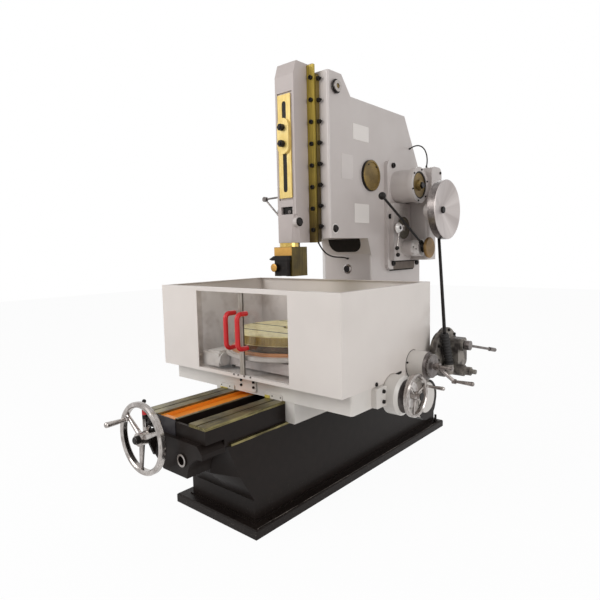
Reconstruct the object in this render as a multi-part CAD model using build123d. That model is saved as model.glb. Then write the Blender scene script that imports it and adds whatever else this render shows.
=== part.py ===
from build123d import *
import os

os.makedirs("parts", exist_ok=True)

# Vertical slotting machine, millimetres. +X points to the operator's right, +Y from the front
# handwheel back to the column, +Z up. The origin lies on the foot's underside, in the machine's
# middle plane, under the face of the ram.

# Foot and bed
foot_half_width = 289
foot_front = -596
foot_back = 1262
foot_thickness = 44
foot_edge_chamfer = 6
ledge_height = 6
ledge_width = 10
bed_half_width = 226
bed_front = -540
apron_height = 139          # top of the upright strip at the foot of the sloping nose
nose_front = -700
nose_half_width = 118
nose_bottom = 300
bed_shoulder = 440          # underside of the guideway body
anchor_hole_radius = 11
anchor_x = 262
anchor_front = -480
anchor_back = 1150
rear_hump_back = 1245
rear_hump_top = 262
rear_hump_radius = 76

# Guideways on the bed
way_top = 552
way_half_width = 221
way_width = 108
way_thickness = 14
way_front = -800
way_back = 510
way_groove_width = 8
way_groove_depth = 4
guide_body_bottom = 478     # where the bed overhangs its nose
valley_floor = 486
holddown_width = 14
holddown_height = 10
trough_right = 14           # right lip of the chip trough, the left one meets the way
trough_floor = 526
trough_wall = 5
trough_lip_top = 547
trough_lip_width = 16       # black rib beside the trough, with a ground strip on top
trough_lip_strip = 3
trough_lip_drop = 5
front_wall = 14

# Gear block under the front end of the bed
block_left = -150
block_right = 226
block_front = -826
block_bottom = 320
block_bevel = 32
block_corner_radius = 104
block_corner_bevel = 84
ring_x = 92
ring_z = 394
ring_radius = 28
ring_bore_radius = 20
ring_height = 5

# Front handwheel, its bracket and its clutch lever
front_wheel_x = -120
front_wheel_y = -880
front_wheel_z = 457
front_wheel_radius = 164
front_rim_depth = 30
front_rim_width = 24
shaft_radius = 14
running_fit = 0.05
sleeve_radius = 26
bracket_thickness = 16
handle_length = 105
block_depth_for_shaft = 66
clutch_offset = 37
handle_radius = 13
handle_inset = 45

# Saddle, carried on the bed's guideways, with the cross guideways on top
slide_gap = 0.3
saddle_half_width = 618
saddle_front = -322
saddle_back = 300
saddle_height = 93.7
saddle_top = way_top + slide_gap + saddle_height
skirt_wall = 22
saddle_core_half_width = 330
apron_side_width = 44
apron_side_bottom = 446.5
cross_way_height = 22
cross_way_width = 84
cross_way_offset = 190
cross_way_inset = 22        # from the saddle's end to the end of its ways
cross_way_half_length = saddle_half_width - cross_way_inset
wiper_thickness = 7
wiper_height = 25
wiper_shift = -12
front_plate_x = -18
front_plate_half_width = 57
front_plate_height = 74
front_plate_drop = 6
front_plate_top = saddle_top - front_plate_drop
front_plate_bottom = front_plate_top - front_plate_height
front_plate_thickness = 10

# Cross slide and the round table
cross_half_width = 330
cross_half_depth = 285
cross_height = 54
table_y = -5
base_flange_radius = 362
base_flange_height = 30
ring_cover_radius = 334
ring_cover_height = 15
ring_cover_wall = 22
neck_radius = 298
neck_height = 27
table_radius = 313
table_thickness = 52
table_lift = 30.7          # from the cover ring up to the table's underside
table_base_bottom = saddle_top + cross_way_height + slide_gap + cross_height
table_top = (table_base_bottom + base_flange_height + ring_cover_height + table_lift
             + table_thickness)
table_bore_radius = 50
table_bore_depth = 40
slot_mouth = 18
slot_throat = 16
slot_head = 30
slot_head_height = 13
slot_pitch = 172
bearing_gap = 0.3
index_case_left = -345
index_case_right = -190
index_case_y = -327
index_case_drop = 16.3
index_case_z = table_base_bottom - index_case_drop
index_case_radius = 34

# Guard round the table
guard_overhang = 5          # how far the guard reaches past the saddle's ends
guard_half_width = saddle_half_width + guard_overhang
guard_front = -400
guard_back = 390
guard_seat = 1
guard_bottom = saddle_top + guard_seat
guard_height = 445
guard_top = guard_bottom + guard_height
guard_sheet = 3
guard_hem = 24
window_left = -317
window_right = 328
window_head = 21
window_sill = 17
window_top = guard_top - window_head
window_bottom = guard_bottom + window_sill
floor_sheet = 3
rail_height = 12
rail_depth = 30
door_gap = 6
door_rest = 0.3             # running gap under a door in its track
glass_thickness = 6
stile_width = 14
stile_depth = 9
pull_radius = 12
pull_drop = 88
pull_rise = 126
pull_top = window_top - pull_drop
pull_bottom = window_bottom + pull_rise
pull_reach = 62
pull_offset = 41

# Feed drums, handwheel and crank on the saddle's right end
cross_drum_y = 25
cross_drum_drop = 60
cross_drum_z = saddle_top - cross_drum_drop
drum_case_y = 0             # the drum's case sits a little in front of its shaft
drum_case_drop = 3
drum_case_z = cross_drum_z - drum_case_drop
cross_drum_radius = 93
cross_drum_length = 74
drum_stand_off = 1
cross_collar_radius = 60
cross_collar_length = 17
side_wheel_gap = 18
side_wheel_x = (guard_half_width + drum_stand_off + cross_drum_length + cross_collar_length
                + side_wheel_gap)
side_handle_radius = 9.5
side_handle_neck = 6
side_handle_length = 88
side_shaft_length = 66
side_hub_radius = 20
side_hub_length = 34
side_nut_radius = 13
side_nut_length = 14
side_wheel_radius = 101
side_rim_depth = 28
side_rim_width = 16
turn_drum_y = 200
turn_drum_rise = 46
turn_drum_z = saddle_top + turn_drum_rise
turn_drum_radius = 67
lower_drum_y = 215
lower_drum_drop = 146
lower_drum_z = saddle_top - lower_drum_drop
lower_drum_radius = 86
lower_drum_length = 76
lower_cap_y = 252
lower_cap_drop = 12
lower_cap_z = lower_drum_z - lower_cap_drop
lower_cap_radius = 78
lower_cap_length = 68
turn_drum_length = 100
dial_radius = 57
dial_length = 16
crank_radius = 90
crank_hub_radius = 19
crank_offset = 12
crank_throw_out = 72
crank_angle = 35

# Feed gearbox, a raw casting behind the drums
gearbox_y = 452
gearbox_rise = 69
gearbox_z = saddle_top + gearbox_rise
gearbox_stand_off = 22
gearbox_body_length = 28
gearbox_flange_thickness = 24
gearbox_left = saddle_half_width + gearbox_stand_off
gearbox_flange_left = gearbox_left + gearbox_body_length
gearbox_face = gearbox_flange_left + gearbox_flange_thickness
gearbox_flange_radius = 132
gearbox_body_radius = 104
gearbox_front_reach = 62
gearbox_foot_y = 264
gearbox_foot_drop = 46
gearbox_foot_bottom = saddle_top - gearbox_foot_drop
gear_lever_reach = 82
gear_lever_shift = 28
gear_lever_rise = 42
gear_lever_x = gearbox_face + gear_lever_reach
gear_lever_y = gearbox_y + gear_lever_shift
gear_lever_z = gearbox_z + gear_lever_rise
gear_lever_pin_radius = 10
gear_lever_tip_out = 76
gear_lever_tip_back = 225
gear_lever_tip_drop = 54
gear_lever_tip = (gear_lever_x + gear_lever_tip_out, gear_lever_y + gear_lever_tip_back,
                  gear_lever_z - gear_lever_tip_drop)
lower_shaft_shift = 6
lower_shaft_drop = 85
lower_shaft_reach = 158
lower_shaft_y = gearbox_y - lower_shaft_shift
lower_shaft_z = gearbox_z - lower_shaft_drop
lower_shaft_end = gearbox_face + lower_shaft_reach

# Column with its overhanging head
column_half_width = 176
pedestal_front = 522
column_back = 1135
column_foot = 440
column_foot_width = 215
column_foot_height = 34
column_corner_radius = 12
head_front = 127
head_bottom = 1331
head_top = 2205
head_top_depth = 244
head_shoulder_y = 328
head_shoulder_drop = 100
head_shoulder_z = head_top - head_shoulder_drop
head_rear_y = 924
back_slope_z = 1760
throat_y = 488
throat_slope_z = 1237
flare_x = -250
flare_front = 596
flare_back = 1010
flare_top = 1330
flare_top_slope = 70

# Ram seat, keepers and ram
seat_half_width = 112
seat_bottom = 1312
seat_top = 2190
seat_cheek = 15
seat_back_wall = 14
keeper_front = 85
keeper_thickness = 12
keeper_top = 2236
keeper_bottom = 1309
ram_half_width = 65
ram_front = -22
ram_top = 2245
ram_bottom = 1310
ram_top_slope = 70
flange_half_width = 95
flange_thickness = 14
way_clearance = 0.3
ram_bevel_top = 1458
ram_bevel_top_width = 21
ram_bevel_top_depth = 12
ram_bevel_width = 40
ram_bevel_depth = 34
ram_boss_y = -1
ram_boss_z = 1419
ram_boss_radius = 20
ram_boss_height = 2
recess_half_width = 52
recess_depth = 8
recess_top = 2092
recess_bottom = 1536
window_half_width = 40
window_ram_top = 1501
window_ram_bottom = 1461
window_ram_depth = 34
seat_pivot_y = 184
seat_pivot_drop = 78
seat_pivot_z = head_top - seat_pivot_drop
seat_pivot_radius = 30
seat_pivot_bore = 13
seat_pivot_height = 22

# Stroke plate, clamp and tool head
stroke_plate_half_width = 44
stroke_plate_thickness = 14
stroke_plate_top = 2080
stroke_plate_bottom = 1547
stroke_slot_half_width = 14
stroke_slot_top = 2046
stroke_slot_bottom = 1577
stroke_slot_depth = 10
clamp_half_width = 39
clamp_top = 1958
clamp_bottom = 1774
clamp_thickness = 14
clamp_nut_top = 1909
clamp_nut_bottom = 1826
clamp_nut_radius = 18
clamp_nut_height = 24
clamp_stud_radius = 9
clamp_stud_height = 30
tool_collar_radius = 54
tool_collar_y = -5
tool_block_half_width = 66
tool_block_front = -62
tool_block_back = 62
tool_block_top = 1288
tool_block_bottom = 1133
tool_slot_half_width = 20
tool_slot_depth = 46
jaw_half_width = 58
jaw_thickness = 30
jaw_top = 1241
jaw_height = 24
jaw_bottom = 1136
jaw_tip_x = -72
jaw_screw_x = -28
jaw_screw_z = 1180
jaw_screw_radius = 22
oil_rod_x = -210
oil_rod_y = 30
oil_rod_z = 1560
oil_rod_radius = 5
oil_rod_foot_z = 1428

# Feed box on the column's right side
box_face = 24               # flange plate's thickness on the column
box_front = 672
box_back = 1055
box_top = 1800
box_bottom = 1139
box_corner = 34
panel_front = 692           # thick panel that carries the selector
panel_back = 905
panel_top = 1545
panel_bottom = 1194
panel_height = 30
cylinder_y = 800
cylinder_z = 1647
cylinder_radius = 99
cylinder_reach = 174
cylinder_ring_radius = 108
cylinder_ring_length = 26
cover_disc_radius = 82
cover_disc_thickness = 8
cover_disc_depth = 14
rear_housing_front = 902
rear_housing_back = 1040
rear_housing_top = 1768
rear_housing_bottom = 1540
rear_housing_reach = 200
upright_front = 912
upright_back = 1028
upright_reach = 174
upright_bottom = 1192
upright_corner = 24
nose_y = 840
nose_z = 1268
nose_radius = 50
nose_reach = 169
round_cover_y = 516
round_cover_z = 1695
round_cover_radius = 88
round_cover_thickness = 20

# Gear head, dish handwheel and levers of the feed box
head_case_front = 836
head_case_top = 1538
head_case_bottom = 1436
head_flange = 14
dish_y = 800
dish_z = 1488
dish_radius = 172
dish_face_x = 532
dish_depth = 50
dish_hub_radius = 38
dish_recess = 36
dish_bore_depth = 50
dish_shaft_length = 48
dish_nut_radius = 12
dish_nut_length = 10
bearing_radius = 42
hub_gap = 6
upper_pipe_y = 985
upper_pipe_rise = 142
upper_pipe_reach = 146
pipe_radius = 4
pipe_end_radius = 6
outlet_x = 446
outlet_y = 856
outlet_radius = 26
outlet_bottom = 1366
knob_radius = 64
knob_thickness = 16
lever_hub_radius = 30
lever_hub_length = 36
lever_pin_radius = 12
lever_pin_depth = 44
lever_collar_radius = 14
lever_collar_length = 70
lever_ball_y = 341
lever_ball_z = 1551
lever_ball_radius = 21
lever_rod_radius = 7
selector_y = 798
selector_z = 1396
selector_radius = 50
selector_thickness = 12
selector_hub_y = 708
selector_hub_z = 1391
selector_pin_radius = 10
selector_knob_radius = 12
selector_hub_radius = 20
selector_hub_reach = 32
selector_arm_out = 22
selector_first_shift = 34
selector_first_drop = 122
selector_second_shift = 24
selector_second_drop = 163

# Drive shaft between the gear head and the gearbox
shaft_clearance = 8
drive_rod_radius = 9
boot_radius = 18
boot_low_out = 33
boot_low_shift = 52
boot_low_drop = 39
boot_low_x = gearbox_face + boot_low_out
boot_low_y = gearbox_y - boot_low_shift
boot_low_z = gearbox_z - boot_low_drop
boot_lean = 10              # how far the boot's top stands in from its foot
boot_shift = 32
boot_rise = 152
boot_top_x = boot_low_x - boot_lean
boot_top_y = boot_low_y - boot_shift
boot_top_z = boot_low_z + boot_rise


def block(x0, x1, y0, y1, z0, z1):
    """A rectangular solid between two corners."""
    solid = Box(x1 - x0, y1 - y0, z1 - z0)
    return Pos((x0 + x1) / 2, (y0 + y1) / 2, (z0 + z1) / 2) * solid


def rod_x(x0, x1, y, z, radius):
    """A round bar along X."""
    return Pos((x0 + x1) / 2, y, z) * Rot(0, 90, 0) * Cylinder(radius, x1 - x0)


def rod_y(x, y0, y1, z, radius):
    """A round bar along Y."""
    return Pos(x, (y0 + y1) / 2, z) * Rot(90, 0, 0) * Cylinder(radius, y1 - y0)


def rod_z(x, y, z0, z1, radius):
    """A round bar along Z."""
    return Pos(x, y, (z0 + z1) / 2) * Cylinder(radius, z1 - z0)


def rod_between(start, end, radius):
    """A round bar from one point to another."""
    a, b = Vector(*start), Vector(*end)
    line = b - a
    return Plane(origin=a, z_dir=line) * Pos(0, 0, line.length / 2) * Cylinder(radius, line.length)


def profile_x(points, x0, x1):
    """A (y, z) outline drawn out along X."""
    face = Plane.YZ * make_face(Polyline(*points, close=True))
    return Pos(x0, 0, 0) * extrude(face, x1 - x0)


def profile_y(points, y0, y1):
    """An (x, z) outline drawn out along Y."""
    face = Plane.XZ * make_face(Polyline(*points, close=True))
    return Pos(0, y0, 0) * extrude(face, -(y1 - y0))


def turned(points):
    """A (radius, height) outline turned about Z."""
    return revolve(Plane.XZ * make_face(Polyline(*points, close=True)), Axis.Z)


def write(shape, node):
    """Write one sub-part under its node's name."""
    export_step(shape, f"parts/{node}.step")


def foot_plate():
    plate = block(-foot_half_width, foot_half_width, foot_front, foot_back, 0, foot_thickness)
    plate = chamfer(plate.edges().group_by(Axis.Z)[-1], foot_edge_chamfer)
    holes = [rod_z(x, y, -1, foot_thickness + 1, anchor_hole_radius)
             for x in (-anchor_x, anchor_x) for y in (anchor_front, anchor_back)]
    return plate - holes


def bed_nose_side(sign):
    """One flank of the bed: its front edge slopes from the apron up to the overhanging guide body."""
    inner = [(pedestal_front, foot_thickness), (bed_front, foot_thickness), (bed_front, apron_height),
             (nose_front, nose_bottom), (nose_front, bed_shoulder), (pedestal_front, bed_shoulder)]
    slope_y = (bed_front + nose_front) / 2
    slope_z = (apron_height + nose_bottom) / 2 + 60
    outer = [(pedestal_front, foot_thickness), (bed_front, foot_thickness), (bed_front, apron_height),
             (slope_y, slope_z), (nose_front + 10, bed_shoulder), (pedestal_front, bed_shoulder)]
    sections = [Pos(sign * x, 0, 0) * (Plane.YZ * make_face(Polyline(*points, close=True)))
                for x, points in ((nose_half_width, inner), (bed_half_width, outer))]
    return loft(sections, ruled=True)


def bed_casting():
    middle = profile_x([(pedestal_front, foot_thickness), (bed_front, foot_thickness),
                        (bed_front, apron_height), (nose_front, nose_bottom),
                        (nose_front, bed_shoulder), (pedestal_front, bed_shoulder)],
                       -nose_half_width, nose_half_width)
    rear = block(-bed_half_width, bed_half_width, pedestal_front, column_back + 25,
                 foot_thickness, bed_shoulder)
    hump = block(-bed_half_width, bed_half_width, column_back + 25, rear_hump_back,
                 foot_thickness, rear_hump_top)
    hump = fillet(hump.edges().filter_by(Axis.X).sort_by(lambda e: e.center().Y + e.center().Z)[-1],
                  rear_hump_radius)
    ledge = block(-bed_half_width - ledge_width, bed_half_width + ledge_width, bed_front - ledge_width,
                  rear_hump_back + ledge_width, foot_thickness, foot_thickness + ledge_height)
    way_floor = way_top - way_thickness
    guide = (block(-way_half_width, way_half_width, nose_front, way_back, bed_shoulder, way_floor)
             + block(-way_half_width, way_half_width, way_front, nose_front,
                     guide_body_bottom, way_floor))
    valley = way_half_width - way_width
    guide -= block(-valley, valley, way_front + front_wall, way_back + 1, valley_floor, way_top)
    guide += block(trough_right - trough_lip_width, trough_right, way_front + front_wall, way_back,
                   valley_floor, trough_lip_top - trough_lip_strip)
    body = foot_plate() + middle + bed_nose_side(1) + bed_nose_side(-1) + rear + hump + ledge + guide
    return body


def bed_ways():
    """Two ground ways on the bed's top, the hold-down strips along its sides and the rib's strip."""
    ways = [block(trough_right - trough_lip_width, trough_right, way_front + front_wall, way_back,
                  trough_lip_top - trough_lip_strip, trough_lip_top)]
    for sign in (-1, 1):
        inner = sign * (way_half_width - way_width)
        outer = sign * way_half_width
        way = block(min(inner, outer), max(inner, outer), way_front, way_back,
                    way_top - way_thickness, way_top)
        middle = (inner + outer) / 2
        way -= block(middle - way_groove_width / 2, middle + way_groove_width / 2, way_front - 1,
                     way_back + 1, way_top - way_groove_depth, way_top + 1)
        side = sign * (way_half_width + holddown_width)
        strip = block(min(outer, side), max(outer, side), nose_front + 26, way_back,
                      bed_shoulder, bed_shoulder + holddown_height)
        ways += [way, strip]
    return Compound(ways)


def chip_trough():
    """The painted trough beside the left way, over the lead screw."""
    left = -(way_half_width - way_width)
    front = way_front + front_wall
    right = trough_right - trough_lip_width
    outer = block(left, right, front, way_back, valley_floor, trough_lip_top - trough_lip_drop)
    inner = block(left + trough_wall, right - trough_wall, front + 22, way_back + 1, trough_floor,
                  trough_lip_top + 1)
    return outer - inner


def gear_block():
    """Gear case below the bed's front end: bevelled top edge, one corner cut off and one rounded."""
    outline = [
        Line((block_left, guide_body_bottom), (block_left, block_bottom + block_corner_bevel)),
        Line((block_left, block_bottom + block_corner_bevel), (block_left + 100, block_bottom)),
        Line((block_left + 100, block_bottom), (block_right - block_corner_radius, block_bottom)),
        RadiusArc((block_right - block_corner_radius, block_bottom),
                  (block_right, block_bottom + block_corner_radius), block_corner_radius),
        Line((block_right, block_bottom + block_corner_radius),
             (block_right, guide_body_bottom - block_bevel)),
        Line((block_right, guide_body_bottom - block_bevel),
             (block_right - block_bevel, guide_body_bottom)),
        Line((block_right - block_bevel, guide_body_bottom), (block_left, guide_body_bottom)),
    ]
    face = Plane.XZ * make_face(outline)
    body = Pos(0, block_front, 0) * extrude(face, -(nose_front - block_front))
    ring = rod_y(ring_x, block_front - ring_height, block_front, ring_z, ring_radius)
    body += ring
    body -= rod_y(ring_x, block_front - ring_height - 1, block_front + 10, ring_z, ring_bore_radius)
    sleeve = rod_y(front_wheel_x, front_wheel_y + front_rim_depth, block_front, front_wheel_z,
                   sleeve_radius)
    web = profile_x([(block_front, front_wheel_z - 90), (block_front, front_wheel_z),
                     (front_wheel_y + front_rim_depth, front_wheel_z - sleeve_radius)],
                    front_wheel_x - bracket_thickness / 2, front_wheel_x + bracket_thickness / 2)
    body += sleeve + web
    return body - rod_y(front_wheel_x, front_wheel_y, nose_front - 20, front_wheel_z, shaft_radius)


def spoked_wheel(radius, rim_width, rim_depth, hub_radius, hub_length, spoke_angles, handle_angle,
                 handle_radius_from_centre, handle_size):
    """A handwheel about Z with a rounded rim, tapered round spokes and a turned handle; faces -Z."""
    rim = turned([(radius - rim_width, -rim_depth / 2 + 5), (radius - rim_width + 5, -rim_depth / 2),
                  (radius - 5, -rim_depth / 2), (radius, -rim_depth / 2 + 6),
                  (radius, rim_depth / 2 - 6), (radius - 5, rim_depth / 2),
                  (radius - rim_width + 5, rim_depth / 2), (radius - rim_width, rim_depth / 2 - 5)])
    hub = Cylinder(hub_radius, hub_length)
    wheel = rim + hub
    for angle in spoke_angles:
        spoke = Rot(0, 90, 0) * Pos(0, 0, radius / 2 - rim_width / 4) * Cone(
            rim_width * 0.55, rim_width * 0.36, radius - rim_width)
        wheel += Rot(0, 0, angle) * spoke
    grip, neck, length = handle_size
    handle = turned([(0, 0), (neck + 2, 0), (neck + 2, 5), (neck, 8), (grip, length - 8),
                     (grip - 1, length - 3), (grip - 4, length), (0, length)])
    boss = Pos(0, 0, -rim_depth / 2) * Rot(180, 0, 0) * handle
    root = Pos(0, 0, -rim_depth / 4) * Cylinder(neck, rim_depth / 2)
    carrier = Rot(0, 0, handle_angle) * Pos(handle_radius_from_centre, 0, 0)
    return wheel + carrier * (boss + root)


def front_handwheel():
    wheel = spoked_wheel(front_wheel_radius, front_rim_width, front_rim_depth, 30, 46,
                         (217, 337, 97), 217, front_wheel_radius - handle_inset,
                         (handle_radius, 9, handle_length))
    length = front_rim_depth + block_depth_for_shaft
    shaft = Pos(0, 0, length / 2) * Cylinder(shaft_radius - running_fit, length)
    knob = Pos(0, 0, -31) * Cylinder(17, 16)
    wheel += shaft + knob
    return Pos(front_wheel_x, front_wheel_y, front_wheel_z) * Rot(-90, 0, 0) * wheel


def clutch_lever():
    """Forked lever behind the front handwheel that engages its drive."""
    x, y = front_wheel_x - clutch_offset, front_wheel_y + front_rim_depth + 11
    root_z = front_wheel_z + sleeve_radius
    fork = block(x - 13, x - 4, y - 6, y + 6, root_z - 6, root_z + 54)
    fork += block(x + 4, x + 13, y - 6, y + 6, root_z - 6, root_z + 54)
    fork += block(x - 13, front_wheel_x + 12, y - 6, y + 6, root_z - 12, root_z + 8)
    head = rod_z(x, y, root_z + 48, root_z + 94, 11)
    tip = rod_z(x, y, root_z + 94, root_z + 122, 5) + Pos(x, y, root_z + 126) * Sphere(9)
    knob = rod_z(x + 35, y, root_z, root_z + 30, 7) + Pos(x + 35, y, root_z + 34) * Sphere(12)
    washer = rod_y(front_wheel_x + 2, y - 14, y - 5, root_z + 12, 10)
    fork -= rod_y(front_wheel_x, y - 20, y + 20, front_wheel_z, sleeve_radius + 0.3)
    return fork + head + tip + knob + washer


def saddle_casting():
    """The long saddle: a skirt of full length, a core over the bed and side aprons that reach down."""
    bottom = way_top + slide_gap
    outer = block(-saddle_half_width, saddle_half_width, saddle_front, saddle_back, bottom, saddle_top)
    outer = fillet(outer.edges().filter_by(Axis.Z), 14)
    for sign in (-1, 1):
        x0 = sign * saddle_core_half_width
        x1 = sign * (saddle_half_width - skirt_wall)
        outer -= block(min(x0, x1), max(x0, x1), saddle_front + skirt_wall, saddle_back - skirt_wall,
                       bottom - 1, saddle_top - skirt_wall)
    for sign in (-1, 1):
        x0 = sign * (way_half_width + holddown_width + slide_gap)
        x1 = x0 + sign * apron_side_width
        apron = block(min(x0, x1), max(x0, x1), saddle_front + 8, saddle_back - 8,
                      apron_side_bottom, bottom)
        gib_x = sign * (way_half_width + slide_gap)
        gib = block(min(gib_x, x0), max(gib_x, x0), saddle_front + 8, saddle_back - 8,
                    bed_shoulder + holddown_height + slide_gap, bottom)
        outer += apron + gib
    for sign in (-1, 1):
        y = sign * cross_way_offset
        outer += block(-cross_way_half_length, cross_way_half_length, y - cross_way_width / 2,
                       y + cross_way_width / 2, saddle_top, saddle_top + cross_way_height)
    return outer


def way_wipers():
    """Wiper plates on the saddle's front, over each way."""
    wipers = []
    for sign in (-1, 1):
        x0 = wiper_shift + sign * (way_half_width - way_width)
        x1 = wiper_shift + sign * (way_half_width + 4)
        wiper = block(min(x0, x1), max(x0, x1), saddle_front - wiper_thickness, saddle_front,
                      way_top + slide_gap, way_top + wiper_height)
        wipers.append(fillet(wiper.edges().filter_by(Axis.Y).group_by(Axis.Z)[-1], 5))
    return Compound(wipers)


def front_plate():
    plate = block(front_plate_x - front_plate_half_width, front_plate_x + front_plate_half_width,
                  saddle_front - front_plate_thickness, saddle_front, front_plate_bottom,
                  front_plate_top)
    return fillet(plate.edges().filter_by(Axis.Y), 8)


def cross_slide():
    """Slide on the saddle's cross ways, with a gib step over each of them."""
    bottom = saddle_top + cross_way_height + slide_gap
    slide = block(-cross_half_width, cross_half_width, table_y - cross_half_depth,
                  table_y + cross_half_depth, bottom, bottom + cross_height)
    return fillet(slide.edges().filter_by(Axis.Z), 30)


def table_levels():
    """Heights of the table's stack from the cross slide up."""
    bottom = saddle_top + cross_way_height + slide_gap + cross_height
    flange_top = bottom + base_flange_height
    ring_top = flange_top + ring_cover_height
    table_bottom = table_top - table_thickness
    return bottom, flange_top, ring_top, table_bottom


def table_base():
    """Round base with an oil gutter and a bearing stub, and the index case at its front left."""
    bottom, flange_top, ring_top, table_bottom = table_levels()
    r = base_flange_radius
    shape = turned([(0, bottom), (r - 26, bottom), (r, bottom + 12), (r, flange_top), (r - 8, flange_top),
                    (r - 8, flange_top - 8), (r - 20, flange_top - 8), (r - 20, flange_top),
                    (neck_radius - 60, flange_top), (neck_radius - 60, table_bottom - neck_height),
                    (0, table_bottom - neck_height)])
    base = Pos(0, table_y, 0) * shape
    x0, x1, r = index_case_left, index_case_right, index_case_radius
    slide_front = table_y - cross_half_depth
    base += rod_x(x0, x1, index_case_y, index_case_z, r)
    base += block(x0 + 15, x1 - 10, index_case_y - r, slide_front - slide_gap, index_case_z - r,
                  index_case_z + r)
    base += block(x0 + 45, x1 - 20, index_case_y - 18, slide_front + 50, bottom, bottom + 27)
    return base


def table_ring():
    """Painted cover ring round the table's worm wheel."""
    _, flange_top, ring_top, _ = table_levels()
    r = ring_cover_radius
    ring = turned([(r - ring_cover_wall, flange_top), (r, flange_top), (r, ring_top - 5),
                   (r - 5, ring_top), (r - ring_cover_wall, ring_top)])
    return Pos(0, table_y, 0) * ring


def rotary_table():
    """Round table: turned disc with a centring bore, three T-slots and a worm wheel neck below."""
    _, flange_top, ring_top, table_bottom = table_levels()
    low = table_bottom - neck_height + bearing_gap
    r = table_radius
    disc = turned([(0, low), (neck_radius, low), (neck_radius, table_bottom), (r - 3, table_bottom),
                   (r, table_bottom + 3), (r, table_top - 4), (r - 4, table_top), (0, table_top)])
    disc -= rod_z(0, 0, table_top - table_bore_depth, table_top + 1, table_bore_radius)
    for i in (-1, 0, 1):
        y = i * slot_pitch
        neck_depth = slot_throat
        disc -= block(-r - 1, r + 1, y - slot_mouth / 2, y + slot_mouth / 2, table_top - neck_depth,
                      table_top + 1)
        disc -= block(-r - 1, r + 1, y - slot_head / 2, y + slot_head / 2,
                      table_top - neck_depth - slot_head_height, table_top - neck_depth)
    return Pos(0, table_y, 0) * disc


def guard_front_panel():
    """Front sheet with the door opening and a folded top hem."""
    y = guard_front
    sheet = block(-guard_half_width, guard_half_width, y, y + guard_sheet, guard_bottom, guard_top)
    sheet -= block(window_left, window_right, y - 1, y + guard_sheet + 1, window_bottom, window_top)
    reach = guard_half_width - guard_sheet
    return sheet + block(-reach, reach, y, y + guard_hem, guard_top - guard_sheet, guard_top)


def guard_side_panel(sign):
    """End sheet with a top hem; the right one is cut round the feed drums."""
    outer = sign * guard_half_width
    inner = outer - sign * guard_sheet
    x0, x1 = min(outer, inner), max(outer, inner)
    sheet = block(x0, x1, guard_front + guard_sheet, guard_back - guard_sheet, guard_bottom, guard_top)
    hem_inner = outer - sign * guard_hem
    sheet += block(min(outer, hem_inner), max(outer, hem_inner), guard_front + guard_hem,
                   guard_back - guard_hem, guard_top - guard_sheet, guard_top)
    if sign > 0:
        for y, z, radius in drum_openings():
            sheet -= rod_x(x0 - 1, x1 + 1, y, z, radius)
            sheet -= block(x0 - 1, x1 + 1, y - radius, y + radius, guard_bottom - 1, max(z, guard_bottom))
    return sheet


def drum_openings():
    """Where the drums pass the guard: centre y, centre z and radius of each opening."""
    return ((turn_drum_y, turn_drum_z, turn_drum_radius + 4),
            (drum_case_y, drum_case_z, cross_drum_radius + 4))


def guard_back_panel():
    y = guard_back
    sheet = block(-guard_half_width, guard_half_width, y - guard_sheet, y, guard_bottom, guard_top)
    reach = guard_half_width - guard_sheet
    return sheet + block(-reach, reach, y - guard_hem, y, guard_top - guard_sheet, guard_top)


def guard_floor():
    """Floor pan round the cross ways."""
    z = saddle_top
    pan = block(-guard_half_width + guard_sheet, guard_half_width - guard_sheet,
                guard_front + guard_sheet, guard_back - guard_sheet, z, z + floor_sheet)
    for sign in (-1, 1):
        y = sign * cross_way_offset
        pan -= block(-cross_way_half_length - 1, cross_way_half_length + 1, y - cross_way_width / 2 - 1,
                     y + cross_way_width / 2 + 1, z - 1, z + floor_sheet + 1)
    return pan


def door_tracks():
    """Bottom and top guide rails for the two sliding doors, inside the front sheet."""
    y0 = guard_front + guard_sheet
    rails = []
    for z in (window_bottom - rail_height, window_top):
        rails.append(block(-guard_half_width + guard_sheet + 1, guard_half_width - guard_sheet - 1,
                           y0, y0 + rail_depth, z, z + rail_height))
    for low, rail in zip((window_bottom - rail_height, window_top), list(rails)):
        groove_z0 = low + rail_height - 6 if low < window_top else low - 1
        groove = block(-guard_half_width, guard_half_width, y0 + door_gap, y0 + door_gap + glass_thickness + 4,
                       groove_z0, groove_z0 + 7)
        rails[rails.index(rail)] = rail - groove
    return Compound(rails)


door_y = guard_front + guard_sheet + door_gap + 2
door_meet = (window_left + window_right) / 2 + 4
door_clear = 0.6


def door_glass(sign):
    """Clear sheet of one door, from its stile to behind the solid side of the front sheet."""
    near = door_meet + sign * (door_clear + stile_width - 4)
    far = window_left - 12 if sign < 0 else window_right + 12
    return block(min(near, far), max(near, far), door_y, door_y + glass_thickness,
                 window_bottom - door_gap + door_rest, window_top + 5)


def door_stile(sign):
    """Metal edge channel of one door, slotted over the glass."""
    x0 = door_meet + sign * door_clear
    x1 = x0 + sign * stile_width
    middle = door_y + glass_thickness / 2
    stile = block(min(x0, x1), max(x0, x1), middle - stile_depth / 2, middle + stile_depth / 2,
                  window_bottom + 1, window_top - 1)
    near = door_meet + sign * (door_clear + stile_width - 4)
    return stile - block(min(near, x1 + sign), max(near, x1 + sign), door_y, door_y + glass_thickness,
                         window_bottom, window_top)


def door_pull(sign):
    """Bow handle bolted through the glass beside the stile."""
    x = door_meet + sign * pull_offset
    front = door_y - pull_reach
    bend = 26
    with BuildPart() as pull:
        with BuildLine() as path:
            FilletPolyline((x, door_y, pull_bottom + pull_radius), (x, front, pull_bottom + pull_radius),
                           (x, front, pull_top - pull_radius), (x, door_y, pull_top - pull_radius),
                           radius=bend)
        with BuildSketch(Plane(origin=path.line @ 0, z_dir=path.line % 0)):
            Circle(pull_radius)
        sweep()
    return pull.part


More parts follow.
